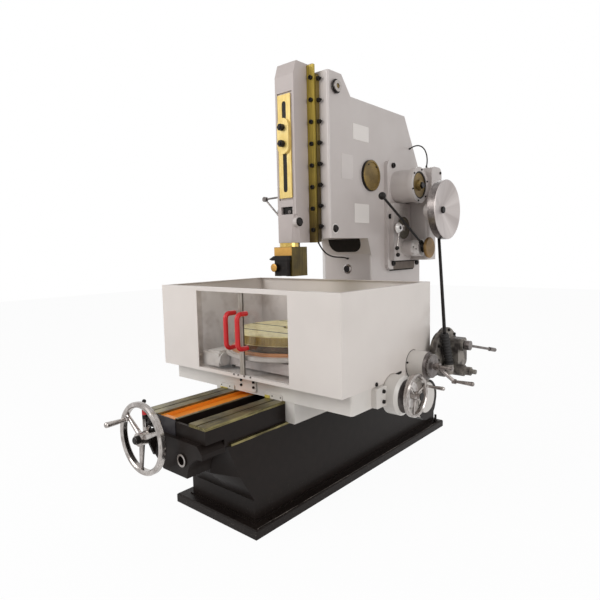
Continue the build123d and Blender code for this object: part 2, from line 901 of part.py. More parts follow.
def cross_drum():
    """Drum of the cross feed with its end lug and the lower gear case, bored for the wheel's shaft."""
    x0 = guard_half_width + drum_stand_off
    x1 = x0 + cross_drum_length
    r = cross_drum_radius
    drum = Pos(x0, drum_case_y, drum_case_z) * Rot(0, 90, 0) * turned(
        [(0, 0), (r, 0), (r, cross_drum_length - 14), (r - 14, cross_drum_length), (0, cross_drum_length)])
    root = rod_x(saddle_half_width, x0, drum_case_y, drum_case_z, r - 36)
    collar = rod_x(x1, x1 + cross_collar_length, cross_drum_y, cross_drum_z, cross_collar_radius)
    lug = block(saddle_half_width, x0 + 20, drum_case_y - r - 78, drum_case_y - r + 12,
                drum_case_z - 32, drum_case_z + 60)
    lug = fillet(lug.edges().filter_by(Axis.X), 12)
    lower = rod_x(saddle_half_width, saddle_half_width + lower_drum_length, lower_drum_y, lower_drum_z,
                  lower_drum_radius)
    bridge = block(saddle_half_width, saddle_half_width + 42, cross_drum_y + 40, lower_drum_y,
                   lower_drum_z, lower_drum_z + lower_drum_radius)
    body = drum + root + collar + lug + lower + bridge
    return body - rod_x(x0 + 10, x1 + cross_collar_length + 1, cross_drum_y, cross_drum_z, shaft_radius)


def lower_cap():
    """Black end cap of the lower drum, seated against the drum's side."""
    cap = rod_x(saddle_half_width, saddle_half_width + lower_cap_length, lower_cap_y, lower_cap_z,
                lower_cap_radius)
    return cap - rod_x(saddle_half_width - 1, saddle_half_width + lower_cap_length + 1, lower_drum_y,
                       lower_drum_z, lower_drum_radius)


def side_handwheel():
    wheel = spoked_wheel(side_wheel_radius, side_rim_width, side_rim_depth, side_hub_radius,
                         side_hub_length, (73, 193, 313), 73, side_wheel_radius - side_rim_width / 2,
                         (side_handle_radius, side_handle_neck, side_handle_length))
    shaft = Pos(0, 0, side_shaft_length / 2) * Cylinder(shaft_radius - running_fit, side_shaft_length)
    nut = Pos(0, 0, -(side_hub_length + side_nut_length) / 2) * Cylinder(side_nut_radius,
                                                                        side_nut_length)
    return (Pos(side_wheel_x, cross_drum_y, cross_drum_z) * Rot(0, -90, 0)
            * (wheel + shaft + nut))


def turn_drum():
    """Drum for turning the table by hand, with its graduated dial."""
    x0 = guard_half_width - guard_sheet
    x1 = x0 + turn_drum_length
    drum = Pos(x0, turn_drum_y, turn_drum_z) * Rot(0, 90, 0) * turned(
        [(0, 0), (turn_drum_radius, 0), (turn_drum_radius, turn_drum_length - 10),
         (turn_drum_radius - 10, turn_drum_length), (0, turn_drum_length)])
    dial = rod_x(x1, x1 + dial_length, turn_drum_y, turn_drum_z, dial_radius)
    foot = block(saddle_half_width, x0 + 30, turn_drum_y - 40, turn_drum_y + 40,
                 gearbox_foot_bottom, saddle_top - 0.5)
    stub = rod_x(x0 - 20, x0, turn_drum_y, turn_drum_z, 30)
    body = drum + dial + stub + foot
    return body - rod_x(x0 + 10, x1 + dial_length + 1, turn_drum_y, turn_drum_z, shaft_radius)


def rear_crank():
    """Crank with an arm that leans outwards and a turned handle, on the table's turning shaft."""
    x = guard_half_width - guard_sheet + turn_drum_length + dial_length + crank_offset
    out = crank_throw_out
    hub = Pos(0, 0, 11) * Cylinder(crank_hub_radius, 22)
    arm = rod_between((8, 0, 14), (crank_radius, 0, out), 9)
    eye = Pos(crank_radius, 0, out) * Cylinder(12, 18)
    grip = Pos(crank_radius, 0, out) * turned(
        [(0, 0), (7, 0), (7, 12), (11, 90), (10, 95), (7, 98), (0, 98)])
    pin = Pos(0, 0, 50) * Cylinder(9, 72) + Pos(0, 0, 82) * Cylinder(13, 8)
    shaft = Pos(0, 0, -33) * Cylinder(shaft_radius - running_fit, 66)
    crank = hub + arm + eye + grip + pin + shaft
    return Pos(x, turn_drum_y, turn_drum_z) * Rot(0, 90, 0) * Rot(0, 0, crank_angle) * crank


def feed_gearbox():
    """Raw casting: round bolted flange, front case, bosses for the lever and the shafts, and its foot."""
    y, z = gearbox_y, gearbox_z
    body = rod_x(gearbox_left, gearbox_flange_left, y, z, gearbox_body_radius)
    flange = rod_x(gearbox_flange_left, gearbox_face, y, z, gearbox_flange_radius)
    flange = chamfer(flange.edges().sort_by(Axis.X)[-1], 5)
    front = block(gearbox_face, gearbox_face + gearbox_front_reach, y - 6, y + 106, z - 76, z + 74)
    front = fillet(front.edges().filter_by(Axis.X), 30)
    front += block(gearbox_face, gearbox_face + 40, y - 50, y + 92, z - 104, z - 60)
    boss = rod_x(gearbox_face, gear_lever_x, gear_lever_y, gear_lever_z, 32)
    lower = rod_x(gearbox_face, lower_shaft_end - 62, lower_shaft_y, lower_shaft_z, 30)
    lower += rod_x(lower_shaft_end - 62, lower_shaft_end - 26, lower_shaft_y, lower_shaft_z, 22)
    lower += rod_x(lower_shaft_end - 26, lower_shaft_end, lower_shaft_y, lower_shaft_z, 12)
    seat = rod_z(boot_low_x, boot_low_y, boot_low_z - 62, boot_low_z - 12, 25)
    seat += block(gearbox_face - 10, boot_low_x + 10, boot_low_y - 18, boot_low_y + 30,
                  boot_low_z - 60, boot_low_z - 30)
    foot = block(saddle_half_width, gearbox_flange_left, gearbox_foot_y, y, gearbox_foot_bottom,
                 saddle_top - 0.5)
    case = body + flange + front + boss + lower + seat + foot
    return case - rod_x(gear_lever_x - 40, gear_lever_x + 1, gear_lever_y, gear_lever_z,
                        gear_lever_pin_radius)


def gearbox_lever():
    """Shift lever on the gearbox's side boss."""
    x, y, z = gear_lever_x, gear_lever_y, gear_lever_z
    tip = Vector(*gear_lever_tip)
    root = Vector(x + 20, y + 8, z - 2)
    bend = root + (tip - root) * 0.78
    pin = rod_x(x - 34, x + 12, y, z, gear_lever_pin_radius - running_fit)
    hub = rod_x(x + 6, x + 32, y, z, 25)
    rod = rod_between(tuple(root), tuple(bend), 7)
    grip = rod_between(tuple(bend), tuple(tip), 11)
    return pin + hub + rod + grip


def column_casting():
    """Column: upright with an overhanging head, seen from the side as one outline."""
    outline = [(head_front, head_bottom), (head_front, head_top), (head_top_depth, head_top),
               (head_shoulder_y, head_shoulder_z), (head_rear_y, head_shoulder_z),
               (column_back, back_slope_z), (column_back, column_foot), (pedestal_front, column_foot),
               (pedestal_front, throat_slope_z), (throat_y, head_bottom)]
    body = profile_x(outline, -column_half_width, column_half_width)
    long_edges = body.edges().filter_by(Axis.Z).filter_by(
        lambda e: abs(e.center().Y - head_front) < 1 or abs(e.center().Y - pedestal_front) < 1
        or abs(e.center().Y - column_back) < 1)
    body = fillet(long_edges, column_corner_radius)
    flare_plan = [(-column_half_width + 4, pedestal_front + 2), (flare_x, flare_front),
                  (flare_x, flare_back), (-column_half_width + 4, flare_back + 50)]
    flare = extrude(Pos(0, 0, column_foot) * make_face(Polyline(*flare_plan, close=True)),
                    flare_top - column_foot)
    flare -= Pos(flare_x, 0, flare_top) * Rot(0, -flare_top_slope / 2, 0) * Box(
        200, 3000, 60)
    foot = block(-column_foot_width, column_foot_width, pedestal_front - 12, column_back + 12,
                 column_foot, column_foot + column_foot_height)
    foot = fillet(foot.edges().filter_by(Axis.Z), 20)
    return body + flare + foot


def ram_seat():
    """Channel on the head's front that guides the ram's flange."""
    outer = block(-seat_half_width, seat_half_width, keeper_front + keeper_thickness, head_front,
                  seat_bottom, seat_top)
    inner = seat_half_width - seat_cheek
    return outer - block(-inner, inner, keeper_front, head_front - seat_back_wall, seat_bottom - 1,
                         seat_top + 1)


def ram_keepers():
    """Front keeper plates, one on each cheek of the seat."""
    plates = []
    for sign in (-1, 1):
        inner = sign * (ram_half_width + way_clearance)
        outer = sign * seat_half_width
        plate = block(min(inner, outer), max(inner, outer), keeper_front,
                      keeper_front + keeper_thickness, keeper_bottom, keeper_top)
        plates.append(plate)
    return Compound(plates)


def ram_casting():
    """Ram: box body with a flange behind, sloped head, recess, pocket and one bevelled lower edge."""
    back = keeper_front + keeper_thickness + way_clearance
    side = [(ram_front, ram_bottom), (ram_front, ram_top - ram_top_slope), (0, ram_top - 4),
            (4, ram_top), (back, ram_top), (back, ram_bottom)]
    body = profile_x(side, -ram_half_width, ram_half_width)
    body += block(-flange_half_width, flange_half_width, back, back + flange_thickness,
                  ram_bottom, ram_top)
    body -= block(-recess_half_width, recess_half_width, ram_front - 1, ram_front + recess_depth,
                  recess_bottom, recess_top)
    body -= block(-window_half_width, window_half_width, ram_front - 1, ram_front + window_ram_depth,
                  window_ram_bottom, window_ram_top)
    x1 = ram_half_width + 1
    ends = ((ram_bottom, ram_bevel_width, ram_bevel_depth),
            (ram_bevel_top, ram_bevel_top_width, ram_bevel_top_depth))
    plans = [Pos(0, 0, z) * make_face(Polyline((ram_half_width - width, ram_front), (x1, ram_front + depth),
                                               (x1, ram_front - 1), (ram_half_width - width, ram_front - 1),
                                               close=True))
             for z, width, depth in ends]
    body -= loft(plans, ruled=True)
    return body + rod_x(ram_half_width - ram_bevel_depth, ram_half_width + ram_boss_height, ram_boss_y,
                        ram_boss_z, ram_boss_radius)


def stroke_plate():
    y0 = ram_front + recess_depth
    y1 = y0 - stroke_plate_thickness
    plate = block(-stroke_plate_half_width, stroke_plate_half_width, y1, y0, stroke_plate_bottom,
                  stroke_plate_top)
    w = stroke_slot_half_width
    slot = block(-w, w, y1 - 1, y1 + stroke_slot_depth, stroke_slot_bottom + w, stroke_slot_top - w)
    slot += rod_y(0, y1 - 1, y1 + stroke_slot_depth, stroke_slot_bottom + w, w)
    slot += rod_y(0, y1 - 1, y1 + stroke_slot_depth, stroke_slot_top - w, w)
    return plate - slot


def stroke_clamp():
    """Oval clamp over the stroke plate."""
    y1 = ram_front + recess_depth - stroke_plate_thickness
    r = clamp_half_width
    middle = (clamp_top + clamp_bottom) / 2
    with BuildSketch(Plane.XZ) as oval:
        with Locations((0, middle)):
            SlotOverall(clamp_top - clamp_bottom, 2 * r, rotation=90)
    return Pos(0, y1, 0) * extrude(oval.sketch, clamp_thickness)


def stroke_nuts():
    """The two nuts on the stroke clamp, each with its stud's end."""
    face = ram_front + recess_depth - stroke_plate_thickness - clamp_thickness
    nuts = []
    for z in (clamp_nut_top, clamp_nut_bottom):
        nut = Pos(0, face, z) * Rot(90, 0, 0) * extrude(RegularPolygon(clamp_nut_radius, 6),
                                                        clamp_nut_height)
        nuts.append(nut + rod_y(0, face - clamp_stud_height, face, z, clamp_stud_radius))
    return Compound(nuts)


def tool_block():
    """Tool head under the ram: round collar and a square block slotted for the tool shank."""
    collar = rod_z(0, tool_collar_y, tool_block_top, ram_bottom, tool_collar_radius)
    body = block(-tool_block_half_width, tool_block_half_width, tool_block_front, tool_block_back,
                 tool_block_bottom, tool_block_top)
    body = chamfer(body.edges().filter_by(Axis.Z), 3)
    body -= block(-tool_slot_half_width, tool_slot_half_width, tool_block_front - 1,
                  tool_block_front + tool_slot_depth, tool_block_bottom - 1, jaw_top)
    return body + collar


def tool_clamp():
    """Clamp jaw across the tool slot, pointed at its left end, with its large set screw."""
    y0 = tool_block_front - jaw_thickness
    low = jaw_top - jaw_height
    jaw = profile_y([(jaw_tip_x, low + 9), (-40, jaw_top), (jaw_half_width, jaw_top), (jaw_half_width, low),
                     (-54, low), (jaw_tip_x, low + 5)], y0, tool_block_front)
    body = block(-42, jaw_half_width - 4, y0 + 6, tool_block_front, jaw_bottom, low)
    jaw += chamfer(body.edges().filter_by(Axis.Z), 4)
    screw = rod_y(jaw_screw_x, y0 - 14, tool_block_front, jaw_screw_z, jaw_screw_radius)
    return jaw + screw


def oil_rod():
    """Thin jointed rod on the ram's left side, between two studs."""
    joint = (oil_rod_x, oil_rod_y, oil_rod_z)
    ends = []
    for z in (oil_rod_z + 4, oil_rod_foot_z):
        line = Vector(-ram_half_width - 8, oil_rod_y, z) - Vector(*joint)
        start = Vector(*joint) + line.normalized() * 8
        ends.append(rod_between(tuple(start), (-ram_half_width - 8, oil_rod_y, z), oil_rod_radius))
        ends.append(rod_x(-ram_half_width - 14, -ram_half_width, oil_rod_y, z, oil_rod_radius + 4))
    return (Pos(*joint) * Rot(90, 0, 0) * Cylinder(14, 20)).fuse(*ends)


def seat_pivot():
    """Nut and bush on which the seat is hung in the head."""
    x0 = column_half_width
    nut = Pos(x0, seat_pivot_y, seat_pivot_z) * Rot(0, 90, 0) * extrude(
        RegularPolygon(seat_pivot_radius + 6, 6), 10)
    bush = rod_x(x0, x0 + seat_pivot_height, seat_pivot_y, seat_pivot_z, seat_pivot_radius)
    return nut + bush - rod_x(x0 + 6, x0 + seat_pivot_height + 1, seat_pivot_y, seat_pivot_z,
                              seat_pivot_bore)


def cover_discs():
    """Round turned covers: one on the column's side and one in the feed box's cylinder."""
    x0 = column_half_width
    r = round_cover_radius
    side = Pos(x0, round_cover_y, round_cover_z) * Rot(0, 90, 0) * turned(
        [(0, 0), (r, 0), (r, round_cover_thickness - 4), (r - 4, round_cover_thickness),
         (r - 12, round_cover_thickness), (r - 14, round_cover_thickness - 5), (0, round_cover_thickness - 5)])
    x1 = x0 + cylinder_reach - cover_disc_depth
    end = Pos(x1, cylinder_y, cylinder_z) * Rot(0, 90, 0) * turned(
        [(0, 0), (cover_disc_radius, 0), (cover_disc_radius, cover_disc_thickness),
         (34, cover_disc_thickness), (30, 22), (20, 26), (0, 26)])
    return Compound([side, end])


def feed_box():
    """Feed box on the column's side: flange plate, panel, round housing, rear housing and nose."""
    x0 = column_half_width
    x1 = x0 + box_face
    plate = fillet(block(x0, x1, box_front, box_back, box_bottom, box_top).edges().filter_by(Axis.X),
                   box_corner)
    panel = block(x1, x1 + panel_height, panel_front, panel_back, panel_bottom, panel_top)
    panel = fillet(panel.edges().filter_by(Axis.X), 14)
    end = x0 + cylinder_reach
    cylinder = rod_x(x1, end - cylinder_ring_length, cylinder_y, cylinder_z, cylinder_radius)
    ring = rod_x(end - cylinder_ring_length, end, cylinder_y, cylinder_z, cylinder_ring_radius)
    mouth = rod_x(end - cover_disc_depth, end + 1, cylinder_y, cylinder_z, cover_disc_radius + slide_gap)
    rear = block(x1, x0 + rear_housing_reach, rear_housing_front, rear_housing_back,
                 rear_housing_bottom, rear_housing_top)
    rear = fillet(rear.edges().filter_by(Axis.X).group_by(Axis.Z)[-1], 40)
    upright = block(x1, x0 + upright_reach, upright_front, upright_back, upright_bottom,
                    rear_housing_bottom)
    upright = fillet(upright.edges().filter_by(Axis.Z).group_by(Axis.X)[-1], upright_corner)
    nose = rod_x(x1, x0 + nose_reach, nose_y, nose_z, nose_radius)
    body = plate + panel + cylinder + ring + rear + upright + nose
    body += block(x1, x0 + nose_reach - 30, nose_y, upright_front + 20, nose_z - 46, nose_z + 30)
    body -= mouth
    body -= rod_x(x0 + nose_reach - 50, x0 + nose_reach + 1, nose_y, nose_z, lever_pin_radius)
    return body - rod_x(x1 + 6, x1 + panel_height + 1, selector_y, selector_z, selector_pin_radius)


def drive_head():
    """Gear head on the box's right, with the dish handwheel's bearing and the drive shaft's outlet."""
    x0 = column_half_width + upright_reach
    end = dish_face_x - dish_depth - hub_gap
    flange = block(x0, x0 + head_flange, upright_front + upright_corner, upright_back - upright_corner,
                   head_case_bottom - 20, head_case_top)
    case = block(x0 + head_flange, outlet_x + outlet_radius, head_case_front, upright_back,
                 head_case_bottom, head_case_top)
    case = fillet(case.edges().filter_by(Axis.Z), 18)
    bearing = rod_x(x0 + head_flange + 30, end, dish_y, dish_z, bearing_radius)
    outlet = rod_z(outlet_x, outlet_y, outlet_bottom, dish_z, outlet_radius)
    return (flange + case + bearing + outlet) - rod_x(end - dish_bore_depth, end + 1, dish_y, dish_z,
                                                   shaft_radius)


def dish_handwheel():
    """Polished dish: a cone turned inwards with a deep rim and a hub."""
    r, d = dish_radius, dish_depth
    dish = turned([(0, -d), (dish_hub_radius, -d), (dish_hub_radius + 4, -d + 4), (r - 10, -20),
                   (r - 10, -d), (r - 3, -d), (r, -d + 3), (r, -4), (r - 4, 0), (r - 8, 0),
                   (dish_hub_radius - 8, -dish_recess), (0, -dish_recess)])
    shaft = Pos(0, 0, -d + 4 - dish_shaft_length / 2) * Cylinder(shaft_radius - running_fit,
                                                                dish_shaft_length)
    nut = Pos(0, 0, -dish_recess + dish_nut_length / 2) * Cylinder(dish_nut_radius, dish_nut_length)
    return Pos(dish_face_x, dish_y, dish_z) * Rot(0, 90, 0) * (dish + shaft + nut)


def feed_lever():
    """Long lever with its ball, turning on the nose of the feed box."""
    x0 = column_half_width + nose_reach + 4
    x1 = x0 + lever_hub_length
    hub = rod_x(x0, x1, nose_y, nose_z, lever_hub_radius)
    pin = rod_x(x0 - lever_pin_depth, x0 + 4, nose_y, nose_z, lever_pin_radius - running_fit)
    middle = (x0 + x1) / 2
    root = Vector(middle, nose_y, nose_z)
    ball = Vector(middle, lever_ball_y, lever_ball_z)
    line = (ball - root).normalized()
    rod = rod_between(tuple(root), tuple(ball), lever_rod_radius)
    collar = rod_between(tuple(root), tuple(root + line * lever_collar_length), lever_collar_radius)
    return hub + pin + rod + collar + Pos(*ball) * Sphere(lever_ball_radius)


def feed_knob():
    """Round knob on the end of the lever's hub."""
    x1 = column_half_width + nose_reach + 4 + lever_hub_length
    return Pos(x1, nose_y, nose_z) * Rot(0, 90, 0) * turned(
        [(0, 0), (knob_radius - 2, 0), (knob_radius, 3), (knob_radius, knob_thickness - 4),
         (knob_radius - 6, knob_thickness), (0, knob_thickness)])


def speed_selector():
    """Round selector with an offset hub and an arm that ends in two knobs."""
    x0 = column_half_width + box_face + panel_height + slide_gap
    x1 = x0 + selector_thickness
    disc = rod_x(x0, x1, selector_y, selector_z, selector_radius)
    pin = rod_x(x0 - 20, x0 + 4, selector_y, selector_z, selector_pin_radius - running_fit)
    bar = block(x0 + 2, x1 + 6, selector_hub_y, selector_y, selector_hub_z - 14, selector_hub_z + 14)
    hub = rod_x(x1 - 6, x1 + selector_hub_reach, selector_hub_y, selector_hub_z, selector_hub_radius)
    first = (x1 + selector_arm_out, selector_hub_y - selector_first_shift, selector_hub_z - selector_first_drop)
    second = (x1 + selector_arm_out, selector_hub_y - selector_second_shift, selector_hub_z - selector_second_drop)
    arm = rod_between((x1 + 20, selector_hub_y, selector_hub_z), first, 6)
    link = rod_between(first, second, 5)
    knobs = Pos(*first) * Sphere(selector_knob_radius) + Pos(*second) * Sphere(selector_knob_radius)
    return disc + pin + bar + hub + arm + link + knobs


def oil_pipes():
    """Thin oil pipes: one from the column to the feed box and one from the seat to the pedestal."""
    def pipe(points, radius):
        with BuildPart() as part:
            with BuildLine() as path:
                Spline(*points)
            with BuildSketch(Plane(origin=path.line @ 0, z_dir=path.line % 0)):
                Circle(radius)
            sweep()
        return part.part
    x0, x1 = column_half_width, column_half_width + upper_pipe_reach
    top = rear_housing_top
    root_z = top + upper_pipe_rise
    upper = pipe([(x0 + 5, upper_pipe_y, root_z), (x0 + 70, upper_pipe_y - 1, root_z + 10),
                  (x1 - 14, upper_pipe_y - 27, root_z - 42), (x1, upper_pipe_y - 45, top + 6)], pipe_radius)
    upper += rod_x(x0, x0 + 9, upper_pipe_y, root_z, pipe_end_radius)
    upper += rod_z(x1, upper_pipe_y - 45, top, top + 12, pipe_end_radius)
    x2, y2 = seat_half_width - seat_cheek / 2, head_front - 14
    lower = pipe([(x2, y2, seat_bottom - 5), (x2 - 12, y2 + 54, 1266), (50, pedestal_front - 190, 1226),
                  (8, pedestal_front - 5, 1212)], pipe_radius)
    lower += rod_z(x2, y2, seat_bottom - 10, seat_bottom, 5)
    lower += rod_y(8, pedestal_front - 10, pedestal_front, 1212, 6)
    return Compound([upper, lower])


def drive_shaft():
    """Telescopic shaft with its rubber boot, between the gear head and the gearbox."""
    top = (outlet_x, outlet_y, outlet_bottom - shaft_clearance)
    boot_top = (boot_top_x, boot_top_y, boot_top_z)
    boot_low = (boot_low_x, boot_low_y, boot_low_z)
    rod = rod_between(top, boot_top, drive_rod_radius)
    boot = rod_between(boot_top, boot_low, boot_radius)
    joint = rod_between(boot_low, (boot_low_x, boot_low_y, boot_low_z - 12), boot_radius + 5)
    rod -= boot
    boot = boot + joint
    return rod, boot


shaft_rod, shaft_boot = drive_shaft()
made = {
    "bed_casting": bed_casting,
    "bed_ways": bed_ways,
    "chip_trough": chip_trough,
    "front_gear_block": gear_block,
    "front_handwheel": front_handwheel,
    "clutch_lever": clutch_lever,
    "saddle_casting": saddle_casting,
    "way_wipers": way_wipers,
    "saddle_front_plate": front_plate,
    "cross_slide": cross_slide,
    "table_base": table_base,
    "table_cover_ring": table_ring,
    "rotary_table": rotary_table,
    "guard_front": guard_front_panel,
    "guard_left": lambda: guard_side_panel(-1),
    "guard_right": lambda: guard_side_panel(1),
    "guard_back": guard_back_panel,
    "guard_floor": guard_floor,
    "door_tracks": door_tracks,
    "left_door_glass": lambda: door_glass(-1),
    "right_door_glass": lambda: door_glass(1),
    "left_door_stile": lambda: door_stile(-1),
    "right_door_stile": lambda: door_stile(1),
    "left_door_handle": lambda: door_pull(-1),
    "right_door_handle": lambda: door_pull(1),
    "cross_feed_drum": cross_drum,
    "lower_drum_cap": lower_cap,
    "side_handwheel": side_handwheel,
    "table_turn_drum": turn_drum,
    "table_crank": rear_crank,
    "feed_gearbox": feed_gearbox,
    "gearbox_lever": gearbox_lever,
    "column_casting": column_casting,
    "ram_seat": ram_seat,
    "ram_keepers": ram_keepers,
    "ram_casting": ram_casting,
    "stroke_plate": stroke_plate,
    "stroke_clamp": stroke_clamp,
    "stroke_nuts": stroke_nuts,
    "tool_block": tool_block,
    "tool_clamp": tool_clamp,
    "oil_rod": oil_rod,
    "seat_pivot": seat_pivot,
    "cover_discs": cover_discs,
    "feed_box": feed_box,
    "drive_head": drive_head,
    "dish_handwheel": dish_handwheel,
    "feed_lever": feed_lever,
    "feed_knob": feed_knob,
    "speed_selector": speed_selector,
    "oil_pipes": oil_pipes,
    "drive_shaft": lambda: shaft_rod,
    "shaft_boot": lambda: shaft_boot,
}
for node, make in made.items():
    write(make(), node)
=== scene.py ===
import math
import bmesh
import bpy
import numpy as np
from mathutils import Matrix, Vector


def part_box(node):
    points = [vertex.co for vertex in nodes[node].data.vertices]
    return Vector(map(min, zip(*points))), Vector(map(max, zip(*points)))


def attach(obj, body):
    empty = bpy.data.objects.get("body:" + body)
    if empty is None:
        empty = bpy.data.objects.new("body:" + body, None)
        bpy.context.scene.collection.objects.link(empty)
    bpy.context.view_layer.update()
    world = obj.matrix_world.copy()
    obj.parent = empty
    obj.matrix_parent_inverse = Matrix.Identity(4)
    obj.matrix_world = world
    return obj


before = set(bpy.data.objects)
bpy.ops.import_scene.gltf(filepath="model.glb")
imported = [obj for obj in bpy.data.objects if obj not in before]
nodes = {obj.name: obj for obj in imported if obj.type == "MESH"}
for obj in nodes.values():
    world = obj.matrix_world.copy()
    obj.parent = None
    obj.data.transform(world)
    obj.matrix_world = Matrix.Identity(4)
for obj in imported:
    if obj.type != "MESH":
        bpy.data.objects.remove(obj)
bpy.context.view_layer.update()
print("frame loaded with", len(nodes), "nodes")

# the photograph's camera: place in metres, angles in degrees, lens in millimetres on a 36 mm sensor
camera = {"place": (1.8537, -2.0778, 1.2695), "yaw": 40.82, "pitch": 5.55, "roll": -1.29, "lens": 30.74,
          "sensor": 36, "farEnd": 60}
millimetre = 0.001


def linear(hexColour):
    # sRGB to linear: v / 12.92 up to 0.04045, and ((v + 0.055) / 1.055) to the power 2.4 above it
    v = np.array([int(hexColour[i:i + 2], 16) for i in (1, 3, 5)]) / 255
    return tuple(np.where(v <= 0.04045, v / 12.92, ((v + 0.055) / 1.055) ** 2.4)) + (1.0,)


def addNode(tree, kind, settings=None, links=None):
    # a name that the node has as a socket sets the socket, any other sets the node's own property
    node = tree.nodes.new(kind)
    for key, value in (settings or {}).items():
        if isinstance(key, str) and key not in node.inputs.keys():
            setattr(node, key, value)
        else:
            node.inputs[key].default_value = value
    for key, source in (links or {}).items():
        tree.links.new(source, node.inputs[key])
    return node


def emptyMaterial(name):
    material = bpy.data.materials.new(name)
    material.use_nodes = True
    material.node_tree.nodes.clear()
    return material, material.node_tree


def startMaterial(name, settings):
    material, tree = emptyMaterial(name)
    shader = addNode(tree, "ShaderNodeBsdfPrincipled", settings)
    addNode(tree, "ShaderNodeOutputMaterial", {}, {"Surface": shader.outputs[0]})
    place = addNode(tree, "ShaderNodeTexCoord").outputs["Object"]
    return material, tree, shader, place


def noise(tree, sizeMm, place, detail):
    # a pattern whose grains are this many millimetres across
    return addNode(tree, "ShaderNodeTexNoise", {"Scale": 1 / (sizeMm * millimetre), "Detail": detail},
                   {"Vector": place})


def mixedColour(tree, shader, factor, first, second):
    mix = addNode(tree, "ShaderNodeMix", {"data_type": "RGBA", 6: linear(first), 7: linear(second)},
                  {0: factor})
    tree.links.new(mix.outputs[2], shader.inputs["Base Color"])
    return mix


def spread(tree, value, low, high):
    # stretches a noise value between low and high over 0 to 1
    wide = addNode(tree, "ShaderNodeMapRange", {"From Min": low, "From Max": high}, {"Value": value})
    return wide.outputs[0]


def roughened(tree, shader, height, strength, depthMm):
    bump = addNode(tree, "ShaderNodeBump", {"Strength": strength, "Distance": depthMm * millimetre},
                   {"Height": height})
    tree.links.new(bump.outputs[0], shader.inputs["Normal"])


def enamel(name, look):
    # sprayed two-pack enamel: an even gloss with slow changes of tone and a fine orange-peel skin
    material, tree, shader, place = startMaterial(name, {
        "Roughness": look["rough"], "IOR": 1.5, "Coat Weight": look["coat"], "Coat Roughness": 0.08})
    cloud = noise(tree, look["cloudMm"], place, detail=3)
    mixedColour(tree, shader, spread(tree, cloud.outputs[0], low=0.35, high=0.65),
                look["shade"], look["colour"])
    peel = noise(tree, look["peelMm"], place, detail=2)
    roughened(tree, shader, peel.outputs[0], look["peel"], depthMm=0.4)
    return material


def groundMetal(name, look):
    # ground or machined steel: fine lines along the cut, drawn coarser than real so that they show
    material, tree, shader, place = startMaterial(name, {
        "Metallic": look["metal"], "Roughness": look["rough"],
        "Specular IOR Level": look.get("specular", 0.5)})
    stretch = addNode(tree, "ShaderNodeMapping", {"Scale": look["stretch"]}, {"Vector": place})
    lines = noise(tree, look["lineMm"], stretch.outputs[0], detail=4)
    cloud = noise(tree, look["cloudMm"], place, detail=4)
    both = addNode(tree, "ShaderNodeMath", {"operation": "MULTIPLY"},
                   {0: lines.outputs[0], 1: cloud.outputs[0]})
    mixedColour(tree, shader, spread(tree, both.outputs[0], low=0.14, high=0.38),
                look["shade"], look["colour"])
    roughened(tree, shader, lines.outputs[0], look["scratch"], depthMm=0.3)
    return material


def oiledSteel(name, look):
    # ground steel under old oil: gold, and browner and darker towards the bottom in blotches
    material, tree, shader, place = startMaterial(name, {
        "Metallic": look["metal"], "Roughness": look["rough"]})
    stretch = addNode(tree, "ShaderNodeMapping", {"Scale": look["stretch"]}, {"Vector": place})
    lines = noise(tree, look["lineMm"], stretch.outputs[0], detail=4)
    tone = mixedColour(tree, shader, spread(tree, lines.outputs[0], low=0.32, high=0.66), look["shade"],
                       look["colour"])
    height = addNode(tree, "ShaderNodeSeparateXYZ", {}, {"Vector": place}).outputs[2]
    low = addNode(tree, "ShaderNodeMapRange", {"From Min": look["clearFrom"], "From Max": look["darkFrom"]},
                  {"Value": height})
    blotchNoise = noise(tree, look["blotchMm"], place, detail=3)
    darkerLow = addNode(tree, "ShaderNodeMath", {"operation": "MULTIPLY", "use_clamp": True},
                       {0: low.outputs[0], 1: spread(tree, blotchNoise.outputs[0], low=0.1, high=0.55)})
    over = addNode(tree, "ShaderNodeMix", {"data_type": "RGBA", 7: linear(look["dark"])},
                   {0: darkerLow.outputs[0], 6: tone.outputs[2]})
    tree.links.new(over.outputs[2], shader.inputs["Base Color"])
    roughened(tree, shader, lines.outputs[0], look["scratch"], depthMm=0.3)
    return material


def castIron(name, look):
    # sand-cast iron: a grainy skin that scatters light, with darker oily patches
    material, tree, shader, place = startMaterial(name, {"Metallic": 0.3, "Roughness": look["rough"]})
    grain = noise(tree, look["grainMm"], place, detail=6)
    patch = noise(tree, look["patchMm"], place, detail=3)
    mixedColour(tree, shader, spread(tree, patch.outputs[0], low=0.4, high=0.62),
                look["shade"], look["colour"])
    roughened(tree, shader, grain.outputs[0], strength=0.8, depthMm=2.2)
    return material


def moulded(name, look):
    # moulded plastic or rubber: one even colour under a faint grain
    material, tree, shader, place = startMaterial(name, {"Roughness": look["rough"], "IOR": look["ior"]})
    grain = noise(tree, look["grainMm"], place, detail=2)
    mixedColour(tree, shader, grain.outputs[0], look["shade"], look["colour"])
    roughened(tree, shader, grain.outputs[0], look["grain"], depthMm=0.3)
    return material


